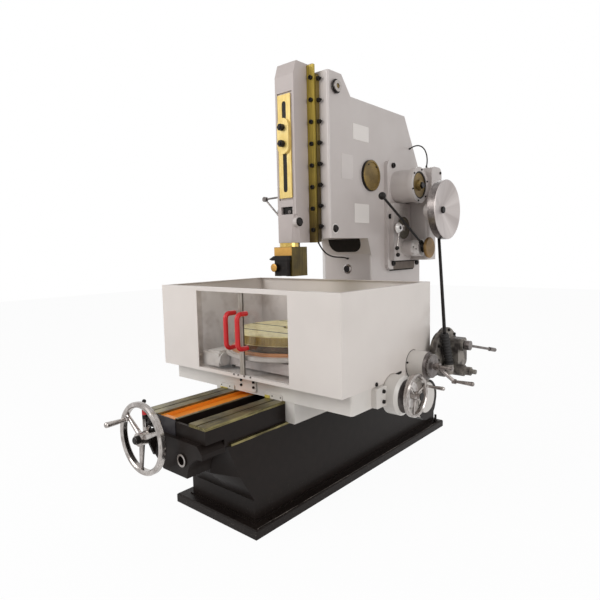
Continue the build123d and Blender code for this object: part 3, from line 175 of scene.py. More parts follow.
def clearSheet(name, look):
    # cast acrylic: light passes straight through with a trace of smoke, under a gloss that grows at
    # grazing angles and a few wiped smears
    material, tree = emptyMaterial(name)
    place = addNode(tree, "ShaderNodeTexCoord").outputs["Object"]
    smear = noise(tree, look["smearMm"], place, detail=5)
    smear.inputs["Roughness"].default_value = look["smearRough"]
    tone = addNode(tree, "ShaderNodeMix", {"data_type": "RGBA", 6: linear(look["colour"]),
                                           7: linear(look["smoke"])},
                   {0: spread(tree, smear.outputs[0], low=0.45, high=0.75)})
    clear = addNode(tree, "ShaderNodeBsdfTransparent", {}, {"Color": tone.outputs[2]})
    gloss = addNode(tree, "ShaderNodeBsdfGlossy", {"Roughness": look["rough"]})
    grazing = addNode(tree, "ShaderNodeFresnel", {"IOR": look["ior"]})
    mix = addNode(tree, "ShaderNodeMixShader", {},
                  {0: grazing.outputs[0], 1: clear.outputs[0], 2: gloss.outputs[0]})
    addNode(tree, "ShaderNodeOutputMaterial", {}, {"Surface": mix.outputs[0]})
    return material


def dishSteel(name, look):
    # steel turned on a lathe, with painted sheen: bright streaks that run out from the axis stand in for the
    # light its turned face reflects. The streak value is noise taken at the direction (y, z) / radius, so
    # that it keeps its value along each spoke
    material, tree, shader, place = startMaterial(name, {"Metallic": look["metal"],
                                                         "Roughness": look["rough"]})
    offset = addNode(tree, "ShaderNodeVectorMath", {"operation": "SUBTRACT", 1: look["centre"]},
                     {0: place})
    flat = addNode(tree, "ShaderNodeVectorMath", {"operation": "MULTIPLY", 1: (0, 1, 1)},
                   {0: offset.outputs[0]})
    spoke = addNode(tree, "ShaderNodeVectorMath", {"operation": "NORMALIZE"}, {0: flat.outputs[0]})
    sheen = addNode(tree, "ShaderNodeTexNoise", {"Scale": look["sheenStreaks"], "Detail": 4},
                     {"Vector": spoke.outputs[0]})
    mixedColour(tree, shader, spread(tree, sheen.outputs[0], low=0.35, high=0.7),
                look["shade"], look["colour"])
    return material


def bedEnamel(name, look):
    # black gloss enamel on a rough casting: uneven brushed skin, with pale dust caught low down
    material, tree, shader, place = startMaterial(name, {
        "Roughness": look["rough"], "Specular IOR Level": 0.11, "Coat Weight": look["coat"],
        "Coat Roughness": 0.15})
    skin = noise(tree, look["skinMm"], place, detail=5)
    height = addNode(tree, "ShaderNodeSeparateXYZ", {}, {"Vector": place}).outputs[2]
    low = addNode(tree, "ShaderNodeMapRange", {"From Min": look["dustTop"], "From Max": look["dustLow"]},
                  {"Value": height})
    dust = noise(tree, look["dustMm"], place, detail=6)
    patch = addNode(tree, "ShaderNodeMath", {"operation": "MULTIPLY", "use_clamp": True},
                    {0: spread(tree, dust.outputs[0], low=0.60, high=0.78), 1: low.outputs[0]})
    tone = mixedColour(tree, shader, skin.outputs[0], look["shade"], look["colour"])
    over = addNode(tree, "ShaderNodeMix", {"data_type": "RGBA", 7: linear(look["dust"])},
                   {0: patch.outputs[0], 6: tone.outputs[2]})
    tree.links.new(over.outputs[2], shader.inputs["Base Color"])
    roughened(tree, shader, skin.outputs[0], look["relief"], depthMm=1.0)
    return material


paint = {"rough": 0.38, "coat": 0.25, "cloudMm": 260, "peelMm": 3, "peel": 0.06}
greyEnamel = enamel("warm grey enamel", {**paint, "colour": "#C9C1BD", "shade": "#C3BAB6"})
ramEnamel = enamel("warm grey enamel of the ram", {**paint, "colour": "#BBB0AC", "shade": "#B3A8A4"})
paleEnamel = enamel("pale grey enamel", {**paint, "colour": "#D3CBC7", "shade": "#CBC3BF"})
guardEnamel = enamel("off-white enamel on sheet", {**paint, "colour": "#DDD5CF", "shade": "#D8D0CA"})
whiteEnamel = enamel("off-white enamel on castings", {**paint, "colour": "#DAD5CF", "shade": "#D2CCC6",
                                                    "peel": 0.12})
blackEnamel = bedEnamel("black gloss enamel on castings", {
    "rough": 0.42, "coat": 0.03, "skinMm": 45, "relief": 0.22, "dustMm": 9, "dustTop": 0.16,
    "dustLow": 0.02, "colour": "#221B18", "shade": "#171210", "dust": "#57504B"})
orangeEnamel = enamel("orange enamel", {**paint, "colour": "#F39A2C", "shade": "#E88A22"})
dustyOrange = enamel("dusty orange enamel", {**paint, "colour": "#D9935A", "shade": "#BE7D46"})
wayMetal = groundMetal("ground steel of the ways", {
    "metal": 0.8, "rough": 0.3, "stretch": (1, 0.04, 1), "lineMm": 5, "cloudMm": 90, "scratch": 0.08,
    "colour": "#94895C", "shade": "#3E3824"})
goldMetal = oiledSteel("ground steel under gold preservative oil", {
    "metal": 0.45, "rough": 0.36, "stretch": (1, 1, 0.03), "lineMm": 5, "blotchMm": 160, "scratch": 0.05,
    "clearFrom": 1.95, "darkFrom": 1.33, "colour": "#C4AC4A", "shade": "#8F7A2C", "dark": "#54441E"})
# painted shade: a darker copy of the gold steel for the strips on the ram seat's sides, which face away from
# the light
gibShadedMetal = oiledSteel("gib strip of gold steel with painted shade", {
    "metal": 0.4, "rough": 0.4, "stretch": (1, 1, 0.03), "lineMm": 5, "blotchMm": 120, "scratch": 0.05,
    "clearFrom": 2.2, "darkFrom": 1.5, "colour": "#9C8740", "shade": "#5E4C22", "dark": "#3C3019"})
# painted shade: a darker, olive copy of the gold steel for the ram seat and the tool block, whose sides face
# away from the light
goldShadedMetal = groundMetal("olive gold steel with painted shade", {
    "metal": 0.5, "rough": 0.36, "stretch": (1, 1, 0.05), "lineMm": 4, "cloudMm": 90, "scratch": 0.06,
    "colour": "#6E5E2C", "shade": "#463A1C"})
# painted light: a lighter, amber copy of the gold steel for the tool head's front faces, which face the light
amberLitMetal = groundMetal("amber gold steel with painted light", {
    "metal": 0.35, "rough": 0.4, "stretch": (1, 1, 1), "lineMm": 4, "cloudMm": 40, "scratch": 0.04,
    "colour": "#D2A14C", "shade": "#BE8C3E"})
sleeveMetal = groundMetal("bright steel sleeve under gold oil", {
    "metal": 1.0, "rough": 0.2, "stretch": (1, 1, 1), "lineMm": 4, "cloudMm": 40, "scratch": 0.03,
    "colour": "#E2C67E", "shade": "#B5964C"})
paleGold = groundMetal("polished steel under thin gold oil", {
    "metal": 0.25, "rough": 0.36, "stretch": (1, 1, 0.05), "lineMm": 3, "cloudMm": 60, "scratch": 0.05,
    "colour": "#E8CF88", "shade": "#D2B464"})
tableMetal = groundMetal("turned cast iron of the table", {
    "metal": 0.1, "rough": 0.45, "stretch": (0.05, 1, 1), "lineMm": 4, "cloudMm": 70, "scratch": 0.06,
    "colour": "#F2E6B0", "shade": "#D9C98A"})
stileMetal = groundMetal("satin aluminium of the door stiles", {
    "metal": 0.35, "rough": 0.45, "stretch": (1, 1, 0.05), "lineMm": 3, "cloudMm": 60, "scratch": 0.04,
    "colour": "#B0A89E", "shade": "#867E74"})
crankMetal = groundMetal("handled steel of the crank", {
    "metal": 0.9, "rough": 0.27, "stretch": (1, 1, 1), "lineMm": 4, "cloudMm": 30, "scratch": 0.04,
    "colour": "#A59D99", "shade": "#625A56"})
noseMetal = groundMetal("bright turned steel with oil marks", {
    "metal": 0.2, "rough": 0.25, "stretch": (1, 1, 1), "lineMm": 30, "cloudMm": 40, "scratch": 0.02,
    "colour": "#FBF8F6", "shade": "#C2BBB6"})
sideMetal = groundMetal("turned side of the table under oil", {
    "metal": 0.2, "rough": 0.42, "stretch": (1, 1, 0.1), "lineMm": 6, "cloudMm": 60, "scratch": 0.04,
    "colour": "#B59C58", "shade": "#8A733C"})
neckMetal = groundMetal("oily neck of the table", {
    "metal": 0.2, "rough": 0.5, "stretch": (1, 1, 1), "lineMm": 8, "cloudMm": 60, "scratch": 0.04,
    "colour": "#7A5E3C", "shade": "#4C3A26"})
brightMetal = groundMetal("polished steel of the handwheels", {
    "metal": 1.0, "rough": 0.2, "stretch": (1, 1, 0.2), "lineMm": 4, "cloudMm": 50, "scratch": 0.03,
    "colour": "#C4BEBA", "shade": "#8C8581"})
darkSteel = groundMetal("dull turned steel", {
    "metal": 0.9, "rough": 0.34, "stretch": (1, 1, 1), "lineMm": 3, "cloudMm": 30, "scratch": 0.05,
    "colour": "#8C8582", "shade": "#5A5452"})
dishMetal = dishSteel("polished dish", {
    "metal": 0.5, "rough": 0.38, "centre": (0.532, 0.8, 1.488), "sheenStreaks": 1.6,
    "colour": "#CFC7C4", "shade": "#B0A7A4"})
blackOxide = groundMetal("black oxide screws", {
    "metal": 0.0, "rough": 0.42, "specular": 0.18, "stretch": (1, 1, 1), "lineMm": 2, "cloudMm": 20,
    "scratch": 0.04, "colour": "#221D1A", "shade": "#120F0E"})
dialMetal = groundMetal("handled steel of the graduated dials", {
    "metal": 0.5, "rough": 0.34, "specular": 0.3, "stretch": (1, 1, 1), "lineMm": 3, "cloudMm": 24,
    "scratch": 0.04, "colour": "#6E6663", "shade": "#37312F"})
brassMetal = groundMetal("turned bronze", {
    "metal": 0.5, "rough": 0.4, "stretch": (1, 1, 1), "lineMm": 4, "cloudMm": 60, "scratch": 0.05,
    "colour": "#957241", "shade": "#68502B"})
oldBronze = groundMetal("old bronze", {
    "metal": 0.5, "rough": 0.4, "stretch": (1, 1, 1), "lineMm": 5, "cloudMm": 90, "scratch": 0.05,
    "colour": "#93793F", "shade": "#5C4A26"})
rawIron = castIron("raw cast iron", {"rough": 0.55, "grainMm": 5, "patchMm": 45,
                                     "colour": "#8E877F", "shade": "#443E3A"})
redPlastic = moulded("red moulded plastic", {"rough": 0.3, "ior": 1.46, "grainMm": 6, "grain": 0.03,
                                             "colour": "#D02226", "shade": "#BE1C20"})
blackPlastic = moulded("black phenolic", {"rough": 0.25, "ior": 1.3, "grainMm": 5, "grain": 0.03,
                                          "colour": "#221C1A", "shade": "#141110"})
dialOlive = moulded("oily dark dial", {"rough": 0.4, "ior": 1.35, "grainMm": 14, "grain": 0.05,
                                       "colour": "#6A6150", "shade": "#332D25"})
# painted shade: the grey-brown tone of the shaded step under the feed box
jointShade = moulded("painted shade on the step under the feed box", {
    "rough": 0.7, "ior": 1.3, "grainMm": 40, "grain": 0.0, "colour": "#83786F", "shade": "#5E5550"})
# painted shade: a dark finish for the throat's opening and the lines under the feed box, where shade falls
paintedShadeDark = moulded("painted shade in the throat and under the feed box", {
    "rough": 0.85, "ior": 1.3, "grainMm": 30, "grain": 0.1, "colour": "#2B2622", "shade": "#1B1714"})
bootRubber = moulded("black rubber", {"rough": 0.7, "ior": 1.52, "grainMm": 3, "grain": 0.1,
                                      "colour": "#1D1918", "shade": "#141110"})
yellowFelt = moulded("yellow felt", {"rough": 0.9, "ior": 1.4, "grainMm": 2, "grain": 0.6,
                                     "colour": "#DCCB6A", "shade": "#B8A548"})
edgeDust = groundMetal("dust along the foot's edge", {
    "metal": 0.0, "rough": 0.9, "specular": 0.1, "stretch": (1, 0.3, 1), "lineMm": 24, "cloudMm": 160,
    "scratch": 0.0, "colour": "#A39A92", "shade": "#332D2A"})
plateMetal = moulded("bare anodised plate", {"rough": 0.4, "ior": 1.5, "grainMm": 3, "grain": 0.02,
                                             "colour": "#EDE7E2", "shade": "#E0D9D4"})
wornPlate = moulded("worn index plate", {"rough": 0.45, "ior": 1.5, "grainMm": 9, "grain": 0.03,
                                         "colour": "#CCC4BE", "shade": "#9C948E"})
steelCover = moulded("grey painted cover", {"rough": 0.4, "ior": 1.5, "grainMm": 8, "grain": 0.05,
                                            "colour": "#2E2B2F", "shade": "#242125"})
acrylic = clearSheet("clear acrylic", {"colour": "#FCFCFC", "smoke": "#EDEAE8", "ior": 1.2,
                                       "rough": 0.05, "smearMm": 90, "smearRough": 0.6})

finishOf = {
    greyEnamel: ["column_casting", "feed_box", "drive_head", "cross_slide"],
    ramEnamel: ["ram_casting"],
    guardEnamel: ["guard_front", "guard_left", "guard_right", "guard_back", "guard_floor", "door_tracks"],
    whiteEnamel: ["saddle_casting", "way_wipers", "saddle_front_plate", "cross_feed_drum",
                  "table_turn_drum", "table_base"],
    blackEnamel: ["bed_casting", "front_gear_block", "lower_drum_cap"],
    orangeEnamel: ["chip_trough"],
    dustyOrange: ["table_cover_ring"],
    wayMetal: ["bed_ways"],
    goldMetal: ["ram_keepers"],
    # painted shade: the ram seat and the tool block take the darker olive copy of the gold steel
    goldShadedMetal: ["ram_seat", "tool_block"],
    paleGold: ["stroke_plate", "stroke_clamp"],
    tableMetal: ["rotary_table"],
    brightMetal: ["front_handwheel", "side_handwheel", "clutch_lever", "speed_selector"],
    crankMetal: ["table_crank"],
    stileMetal: ["left_door_stile", "right_door_stile"],
    darkSteel: ["oil_rod", "seat_pivot", "gearbox_lever"],
    dishMetal: ["dish_handwheel"],
    blackOxide: ["tool_clamp", "stroke_nuts", "oil_pipes", "drive_shaft", "feed_lever"],
    brassMetal: ["feed_knob"],
    oldBronze: ["cover_discs"],
    rawIron: ["feed_gearbox"],
    redPlastic: ["left_door_handle", "right_door_handle"],
    bootRubber: ["shaft_boot"],
    acrylic: ["left_door_glass", "right_door_glass"],
}
sharpDegrees = 32
for material, names in finishOf.items():
    for name in names:
        mesh = nodes[name].data
        mesh.materials.clear()
        mesh.materials.append(material)
        mesh.set_sharp_from_angle(angle=math.radians(sharpDegrees))
print("finishes given to the castings and sheets")

# the frame's slot that each finish of an added piece belongs to
finishesOf = {
    "dark_oxide": [blackOxide, blackPlastic, paintedShadeDark, jointShade, dialOlive, steelCover, crankMetal],
    "polished_steel": [darkSteel, brightMetal, noseMetal, dialMetal, plateMetal, wornPlate, paleEnamel],
    "gold_steel": [gibShadedMetal, amberLitMetal, sleeveMetal, sideMetal, neckMetal],
    "machine_grey": [greyEnamel, ramEnamel],
    "guard_white": [whiteEnamel],
    "bed_black": [blackEnamel, edgeDust],
    "boot_rubber": [bootRubber, yellowFelt],
    "cover_brass": [oldBronze],
    "handle_red": [redPlastic],
}
slotOf = {material: slotName for slotName, materials in finishesOf.items() for material in materials}
toRight, toFront, toTop = (1, 0, 0), (0, -1, 0), (0, 0, 1)


def gridFaces(grid, wrapU, wrapV):
    # joins neighbouring points of a grid by quads; a wrapped side joins its last row to its first
    countU, countV = grid.shape[:2]
    u = np.arange(countU if wrapU else countU - 1)[:, None]
    v = np.arange(countV if wrapV else countV - 1)[None, :]
    nextU, nextV = (u + 1) % countU, (v + 1) % countV
    quads = np.stack([u * countV + v, nextU * countV + v, nextU * countV + nextV, u * countV + nextV],
                     axis=-1)
    return grid.reshape(-1, 3), quads.reshape(-1, 4)


def turned(profile, steps=28, sides=0, innerTo=0):
    # a (radius, height) profile turned about Z: x = r cos a, y = r sin a, z = h. The first innerTo
    # points follow a polygon instead, r cos(part / 2) / cos(a mod part - part / 2), part = 2 pi / sides
    profile = np.array(profile, float)
    angle = np.linspace(0, 2 * math.pi, steps, endpoint=False)[:, None]
    radius = np.repeat(profile[None, :, 0], steps, axis=0)
    if sides:
        part = 2 * math.pi / sides
        flat = math.cos(part / 2) / np.cos(np.mod(angle, part) - part / 2)
        radius[:, :innerTo] *= flat
    grid = np.stack([radius * np.cos(angle), radius * np.sin(angle),
                     np.repeat(profile[None, :, 1], steps, axis=0)], axis=-1)
    return gridFaces(grid, True, False)


def slab(size, corner=0.0, steps=6):
    # a plate lying on z = 0: a rounded rectangle's outline carried up its height and closed at both ends
    width, depth, height = size
    quarter = np.linspace(0, math.pi / 2, steps)
    angle = np.concatenate([quarter + k * math.pi / 2 for k in range(4)])
    signX = np.repeat([1, -1, -1, 1], steps)
    signY = np.repeat([1, 1, -1, -1], steps)
    ringX = signX * (width / 2 - corner) + corner * np.cos(angle)
    ringY = signY * (depth / 2 - corner) + corner * np.sin(angle)
    levels = [(0, 0), (1, 0), (1, height), (0, height)]
    grid = np.stack([np.stack([ringX * k, ringY * k, np.full_like(ringX, z)], -1) for k, z in levels], 1)
    return gridFaces(grid, True, False)


def socketScrew(radius, height):
    # cap screw: a bevelled cylinder with a hexagon socket sunk in it
    socket, bevel, floor = radius * 0.52, radius * 0.12, height * 0.4
    profile = [(0, floor), (socket, floor), (socket, height), (radius - bevel, height),
               (radius, height - bevel), (radius, 0), (0, 0)]
    return turned(profile, steps=24, sides=6, innerTo=3)


def hexNut(radius, height):
    # hexagonal nut with a stud's rounded end in the middle
    bevel, tip, thread = radius * 0.1, radius * 0.3, radius * 0.42
    end, shoulder = height * 1.5, height * 1.4
    nut = turned([(0, height), (radius - bevel, height), (radius, height - bevel), (radius, 0), (0, 0)],
                 steps=24, sides=6, innerTo=4)
    stud = turned([(0, end), (tip, end), (thread, shoulder), (thread, 0), (0, 0)], steps=16)
    return nut, stud


def band(inner, outer, height):
    # a flat ring: its rectangular section starts and ends at the same point
    return turned([(inner, 0), (inner, height), (outer, height), (outer, 0), (inner, 0)],
                  steps=48)


def cap(radius, height, bevel=0.15):
    # a low cylinder with a bevelled top edge, lying on z = 0
    cut = radius * bevel
    return turned([(0, height), (radius - cut, height), (radius, height - min(cut, height)), (radius, 0),
                   (0, 0)], steps=32)


def plug(radius, height, flat):
    # a disc whose slanted rim starts at this share of the radius and ends at half the height
    return turned([(0, height), (radius * flat, height), (radius, height * 0.5), (radius, 0), (0, 0)])


def ball(radius, steps=13):
    # a half circle turned about Z: r = R sin t, z = R cos t
    t = np.linspace(0, math.pi, steps)
    return turned(np.stack([radius * np.sin(t), radius * np.cos(t)], -1), steps=24)


def placed(shape, origin, axis=toTop, spin=0.0):
    # turns a shape's Z to axis, after a spin about Z, and moves it to origin
    z = np.array(axis, float) / np.linalg.norm(axis)
    x = np.cross((0, 0, 1), z) if abs(z[2]) < 0.9 else np.array([1.0, 0.0, 0.0])
    x /= np.linalg.norm(x)
    turn = np.stack([x, np.cross(z, x), z], axis=1)
    c, s = math.cos(spin), math.sin(spin)
    turn = turn @ np.array([[c, -s, 0], [s, c, 0], [0, 0, 1]])
    return shape[0] @ turn.T + np.array(origin, float), shape[1]


def addPiece(name, shapes, material, body, slotName=None, sharp=35):
    # several shapes as one mesh: each one's faces count on from the points of those before it
    points, faces, start = [], [], 0
    for p, f in shapes:
        points.append(p)
        faces.append(f + start)
        start += len(p)
    mesh = bpy.data.meshes.new(name)
    mesh.from_pydata(np.concatenate(points).tolist(), [], np.concatenate(faces).tolist())
    work = bmesh.new()
    work.from_mesh(mesh)
    bmesh.ops.remove_doubles(work, verts=work.verts, dist=1e-6)
    bmesh.ops.dissolve_degenerate(work, edges=work.edges, dist=1e-7)
    bmesh.ops.recalc_face_normals(work, faces=work.faces)
    work.to_mesh(mesh)
    work.free()
    mesh.shade_smooth()
    mesh.set_sharp_from_angle(angle=math.radians(sharp))
    mesh.materials.append(material)
    piece = bpy.data.objects.new(name, mesh)
    bpy.context.scene.collection.objects.link(piece)
    slotName = slotName or slotOf[material]
    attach(piece, body)


def fitPiece(name, shape, size, facing, places, material, body, slotName=None):
    # the same shape at each of its places (x, y, z), standing on a face that looks one way
    addPiece(name, [placed(shape(**size), place, facing) for place in places], material, body, slotName)


def strips(face, edges, thick, corner):
    # flat strips on a face that looks along +X, each given by its edges y0, y1, z0, z1
    return [placed(slab((y1 - y0, z1 - z0, thick), corner), (face, (y0 + y1) / 2, (z0 + z1) / 2), toRight)
            for y0, y1, z0, z1 in edges]


def ringPlaces(x, y, z, reach, first, count):
    # places on a circle in a face that looks along +X, from the first angle on
    angles = np.linspace(first, first + 2 * math.pi, count, endpoint=False)
    return [(x, y + reach * math.cos(a), z + reach * math.sin(a)) for a in angles]


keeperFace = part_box("ram_keepers")[0][1]
fitPiece("keeper_screws", socketScrew, {"radius": 0.0115, "height": 0.011}, toFront,
         [(x, keeperFace, z) for x in (-0.094, 0.094) for z in np.linspace(2.169, 1.377, num=8)],
         blackOxide, "base")
seat = {"y": 0.112, "top": 2.165, "bottom": 1.395, "count": 8, "radius": 0.012, "height": 0.020}
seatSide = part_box("ram_seat")[1][0]
addPiece("seat_adjusting_screws", [placed(part, (side * seatSide, seat["y"], z), (side, 0, 0))
                                   for side in (-1, 1)
                                   for z in np.linspace(seat["top"], seat["bottom"], seat["count"])
                                   for part in hexNut(seat["radius"], seat["height"])],
         blackOxide, "base")
gib = {"size": (0.0277, 0.8725, 0.0045), "corner": 0.010, "steps": 8, "y": 0.11235, "z": 1.74975}
gibShape = slab(gib["size"], gib["corner"], gib["steps"])
# painted shade: the strips on the seat's sides take the darker copy of the gold steel
addPiece("seat_side_strips", [placed(gibShape, (side * seatSide, gib["y"], gib["z"]), (side, 0, 0))
                              for side in (-1, 1)], gibShadedMetal, "base")
print("ram guide screws placed")

columnSide = 0.176
plugPlace = (columnSide, 0.170, 1.3825)
fitPiece("column_side_plug", plug, {"radius": 0.0205, "height": 0.013, "flat": 0.7}, toRight,
         [plugPlace], blackPlastic, "base")
fitPiece("column_plug_seat", band, {"inner": 0.021, "outer": 0.0275, "height": 0.0012}, toRight,
         [plugPlace], plateMetal, "base", "machine_grey")
# painted shade: the throat's opening, which lies in shade, is a dark plate that lies on the slanted wall
throatFacing = (0, -0.94, -0.34)
fitPiece("throat_shade_plate", slab, {"size": (0.235, 0.170, 0.001), "corner": 0.060, "steps": 10},
         throatFacing, [(0, 0.4877, 1.3319)], paintedShadeDark, "base")
fitPiece("ram_side_boss", cap, {"radius": 0.0285, "height": 0.0222, "bevel": 0.06}, toRight,
         [(0.045, -0.001, 1.419)], greyEnamel, "ram")
fitPiece("ram_side_plug", plug, {"radius": 0.0235, "height": 0.010, "flat": 0.8}, toRight,
         [(0.0672, -0.001, 1.419)], blackPlastic, "ram")
# painted shade: a black bar on the floor of the stroke plate's slot stands in for the shade in the deep slot
fitPiece("stroke_slot_shade", slab, {"size": (0.0272, 0.468, 0.008), "corner": 0.013464, "steps": 10},
         toFront, [(0, -0.018, 1.8115)], blackOxide, "ram")
fitPiece("ram_pocket_block", slab, {"size": (0.0795, 0.0396, 0.0175), "corner": 0.001}, toFront,
         [(0, 0.0115, 1.481)], blackOxide, "ram")
fitPiece("ram_pocket_screw", socketScrew, {"radius": 0.010, "height": 0.006}, toFront,
         [(0.008, -0.006, 1.474)], darkSteel, "ram")
fitPiece("ram_left_knob", cap, {"radius": 0.013, "height": 0.011}, (-1, 0, 0),
         [(-0.065, -0.004, 1.481)], blackOxide, "ram")

panelEdge = {"x": 0.049, "top": 2.078, "low": 1.330, "left": -0.058, "wide": 0.0030, "high": 0.0016,
             "corner": 0.001}
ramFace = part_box("ram_casting")[0][1]
panelSizes = [(panelEdge["wide"], panelEdge["top"] - panelEdge["low"]),
              (panelEdge["x"] - panelEdge["left"], panelEdge["wide"])]
panelPlaces = [(panelEdge["x"], ramFace, (panelEdge["top"] + panelEdge["low"]) / 2),
               ((panelEdge["x"] + panelEdge["left"]) / 2, ramFace, panelEdge["top"])]
addPiece("ram_panel_edges", [placed(slab((*size, panelEdge["high"]), panelEdge["corner"]), place, toFront)
                             for size, place in zip(panelSizes, panelPlaces)], ramEnamel, "ram")

fitPiece("pivot_ring", band, {"inner": 0.0135, "outer": 0.0296, "height": 0.0015}, toRight,
         [(0.198, 0.184, 2.127)], wornPlate, "base")
# a dark ring round the pivot's pale ring
fitPiece("pivot_dark_ring", band, {"inner": 0.0302, "outer": 0.0365, "height": 0.003}, toRight,
         [(0.186, 0.184, 2.127)], blackOxide, "base")
fitPiece("pivot_core", cap, {"radius": 0.0128, "height": 0.014}, toRight, [(0.1825, 0.184, 2.127)],
         oldBronze, "base")
# thin skins on one solid of the tool head: the block's front and the screw's face are painted lighter than
# the olive sides, painted light on the lit front, and the collar has a bright sleeve
fitPiece("tool_block_front_face", slab, {"size": (0.125, 0.0435, 0.0008), "corner": 0.001}, toFront,
         [(0, -0.062, 1.2647)], amberLitMetal, "ram")
fitPiece("tool_collar_sleeve", band, {"inner": 0.0541, "outer": 0.0546, "height": 0.0205}, toTop,
         [(0, -0.005, 1.2885)], sleeveMetal, "ram")
fitPiece("tool_screw_face", cap, {"radius": 0.0212, "height": 0.0015}, toFront,
         [(-0.028, -0.106, 1.180)], amberLitMetal, "ram")
print("ram fittings placed")

sight = {"place": (0.003, 0.522, 1.148), "radius": 0.030, "rim": 0.021, "height": 0.010, "edge": 0.006,
         "glass": 0.005, "lip": 0.001}
rim = turned([(sight["rim"], sight["lip"]), (sight["rim"], sight["height"]), (sight["radius"], sight["edge"]),
              (sight["radius"], 0), (sight["rim"], 0), (sight["rim"], sight["lip"])])
glass = turned([(0, sight["glass"]), (sight["rim"], sight["glass"]), (sight["rim"], 0), (0, 0)])
addPiece("oil_sight_rim", [placed(rim, sight["place"], toFront)], brightMetal, "base")
addPiece("oil_sight_glass", [placed(glass, sight["place"], toFront)], blackPlastic, "base")

# bare plates on the right side, each as its face, its edges y0, y1, z0, z1 and its finish
panelFace = 0.230
plates = {
    "column_plate_upper": (columnSide, (0.348, 0.506, 1.882, 1.968), plateMetal),
    "column_plate_middle": (columnSide, (0.233, 0.344, 1.656, 1.790), paleEnamel),
    "column_plate_lower": (columnSide, (0.355, 0.503, 1.419, 1.527), plateMetal),
    "feed_plate_upper": (panelFace, (0.760, 0.866, 1.468, 1.520), wornPlate),
    "feed_plate_lower": (panelFace, (0.776, 0.882, 1.240, 1.312), wornPlate),
}
plateLook = {"thick": 0.0012, "corner": 0.004, "inset": 0.007}
platePin = turned([(0, 0.0016), (0.0018, 0.0012), (0.0026, 0), (0, 0)], steps=12)
for name, (face, edges, material) in plates.items():
    y0, y1, z0, z1 = edges
    inset = plateLook["inset"]
    pins = [placed(platePin, (face + plateLook["thick"], y, z), toRight)
            for y in (y0 + inset, y1 - inset) for z in (z0 + inset, z1 - inset)]
    addPiece(name, strips(face, [edges], plateLook["thick"], plateLook["corner"]) + pins, material, "base")

fitPiece("round_cover_screws", cap, {"radius": 0.0055, "height": 0.003}, toRight,
         [(0.191, 0.482, 1.755), (0.191, 0.564, 1.747)], blackOxide, "base")
# painted shade: a black band over the side of the round cover's rim, where it is in shade
fitPiece("round_cover_shaded_edge", band, {"inner": 0.0882, "outer": 0.0892, "height": 0.016}, toRight,
         [(columnSide, 0.516, 1.695)], blackOxide, "base")
fitPiece("cylinder_mouth_ring", band, {"inner": 0.073, "outer": 0.0818, "height": 0.003}, toRight,
         [(0.344, 0.800, 1.647)], blackOxide, "base")
fitPiece("cylinder_ring_screws", socketScrew, {"radius": 0.0055, "height": 0.005}, toRight,
         ringPlaces(0.350, 0.800, 1.647, reach=0.0955, first=0.3, count=6), blackOxide, "base")
discKnob = {"place": (0.356, 0.803, 1.644), "radius": 0.020, "face": 0.016, "length": 0.016,
            "edge": 0.0128, "foot": 0.004}
knobShape = turned([(0, discKnob["length"]), (discKnob["face"], discKnob["length"]),
                    (discKnob["radius"], discKnob["edge"]), (discKnob["radius"], discKnob["foot"]), (0, 0)])
addPiece("cylinder_disc_knob", [placed(knobShape, discKnob["place"], toRight)], blackPlastic, "base")
fitPiece("lever_nose_sleeve", band, {"inner": 0.0502, "outer": 0.0512, "height": 0.0525}, toRight,
         [(0.292, 0.840, 1.268)], noseMetal, "base")
fitPiece("lever_nose_screws", cap, {"radius": 0.004, "height": 0.002}, toFront,
         [(0.312, 0.7894, 1.274), (0.330, 0.7894, 1.262)], blackOxide, "base")

# speed selector: dark dial, bright hub before it, and two balls at the levers' ends
fitPiece("selector_dial", cap, {"radius": 0.068, "height": 0.0082, "bevel": 0.03}, toRight,
         [(0.2370, 0.798, 1.394)], dialOlive, "selector")
fitPiece("selector_hub", cap, {"radius": 0.033, "height": 0.0168, "bevel": 0.35}, toRight,
         [(0.2610, 0.692, 1.391)], noseMetal, "selector")
fitPiece("selector_hub_screw", cap, {"radius": 0.011, "height": 0.002}, toRight,
         [(0.2778, 0.692, 1.391)], blackPlastic, "selector")
fitPiece("selector_stud", ball, {"radius": 0.0090}, toTop, [(0.2500, 0.775, 1.404)], brightMetal,
         "selector")
fitPiece("selector_knobs", ball, {"radius": 0.0130}, toTop,
         [(0.2643, 0.674, 1.269), (0.2643, 0.684, 1.228)], blackPlastic, "selector")

fitPiece("feed_box_screws", socketScrew, {"radius": 0.016, "height": 0.014}, toRight,
         [(0.200, 0.735, 1.774), (0.200, 0.698, 1.464), (0.200, 0.730, 1.175), (0.200, 1.031, 1.172)],
         blackOxide, "base")
fitPiece("rear_housing_screws", socketScrew, {"radius": 0.008, "height": 0.007}, toRight,
         [(0.376, 1.018, z) for z in (1.735, 1.685, 1.635)], blackOxide, "base")
# the joint under the feed box: a step in painted shade between two dark lines of painted shadow under the box
boxFace = 0.2001
addPiece("feed_box_joint_shade", strips(boxFace, [(0.738, 1.004, 1.1360, 1.1890)], thick=0.0012,
                                        corner=0.006), jointShade, "base")
addPiece("feed_box_joint_shadow_lines", strips(boxFace, [(0.738, 1.022, 1.1830, 1.1892),
                                                  (0.690, 0.990, 1.1290, 1.1372)],
                                        thick=0.0018, corner=0.003), paintedShadeDark, "base")
fitPiece("dish_centre_nut", cap, {"radius": 0.0205, "height": 0.0115}, toRight,
         [(0.4962, 0.800, 1.488)], blackOxide, "dish")
# painted shade: a darker steel skin on the dish's rim wall
fitPiece("dish_rim_shade", band, {"inner": 0.1722, "outer": 0.1730, "height": 0.042}, toRight,
         [(0.486, 0.800, 1.488)], darkSteel, "dish")
print("column and feed box fittings placed")

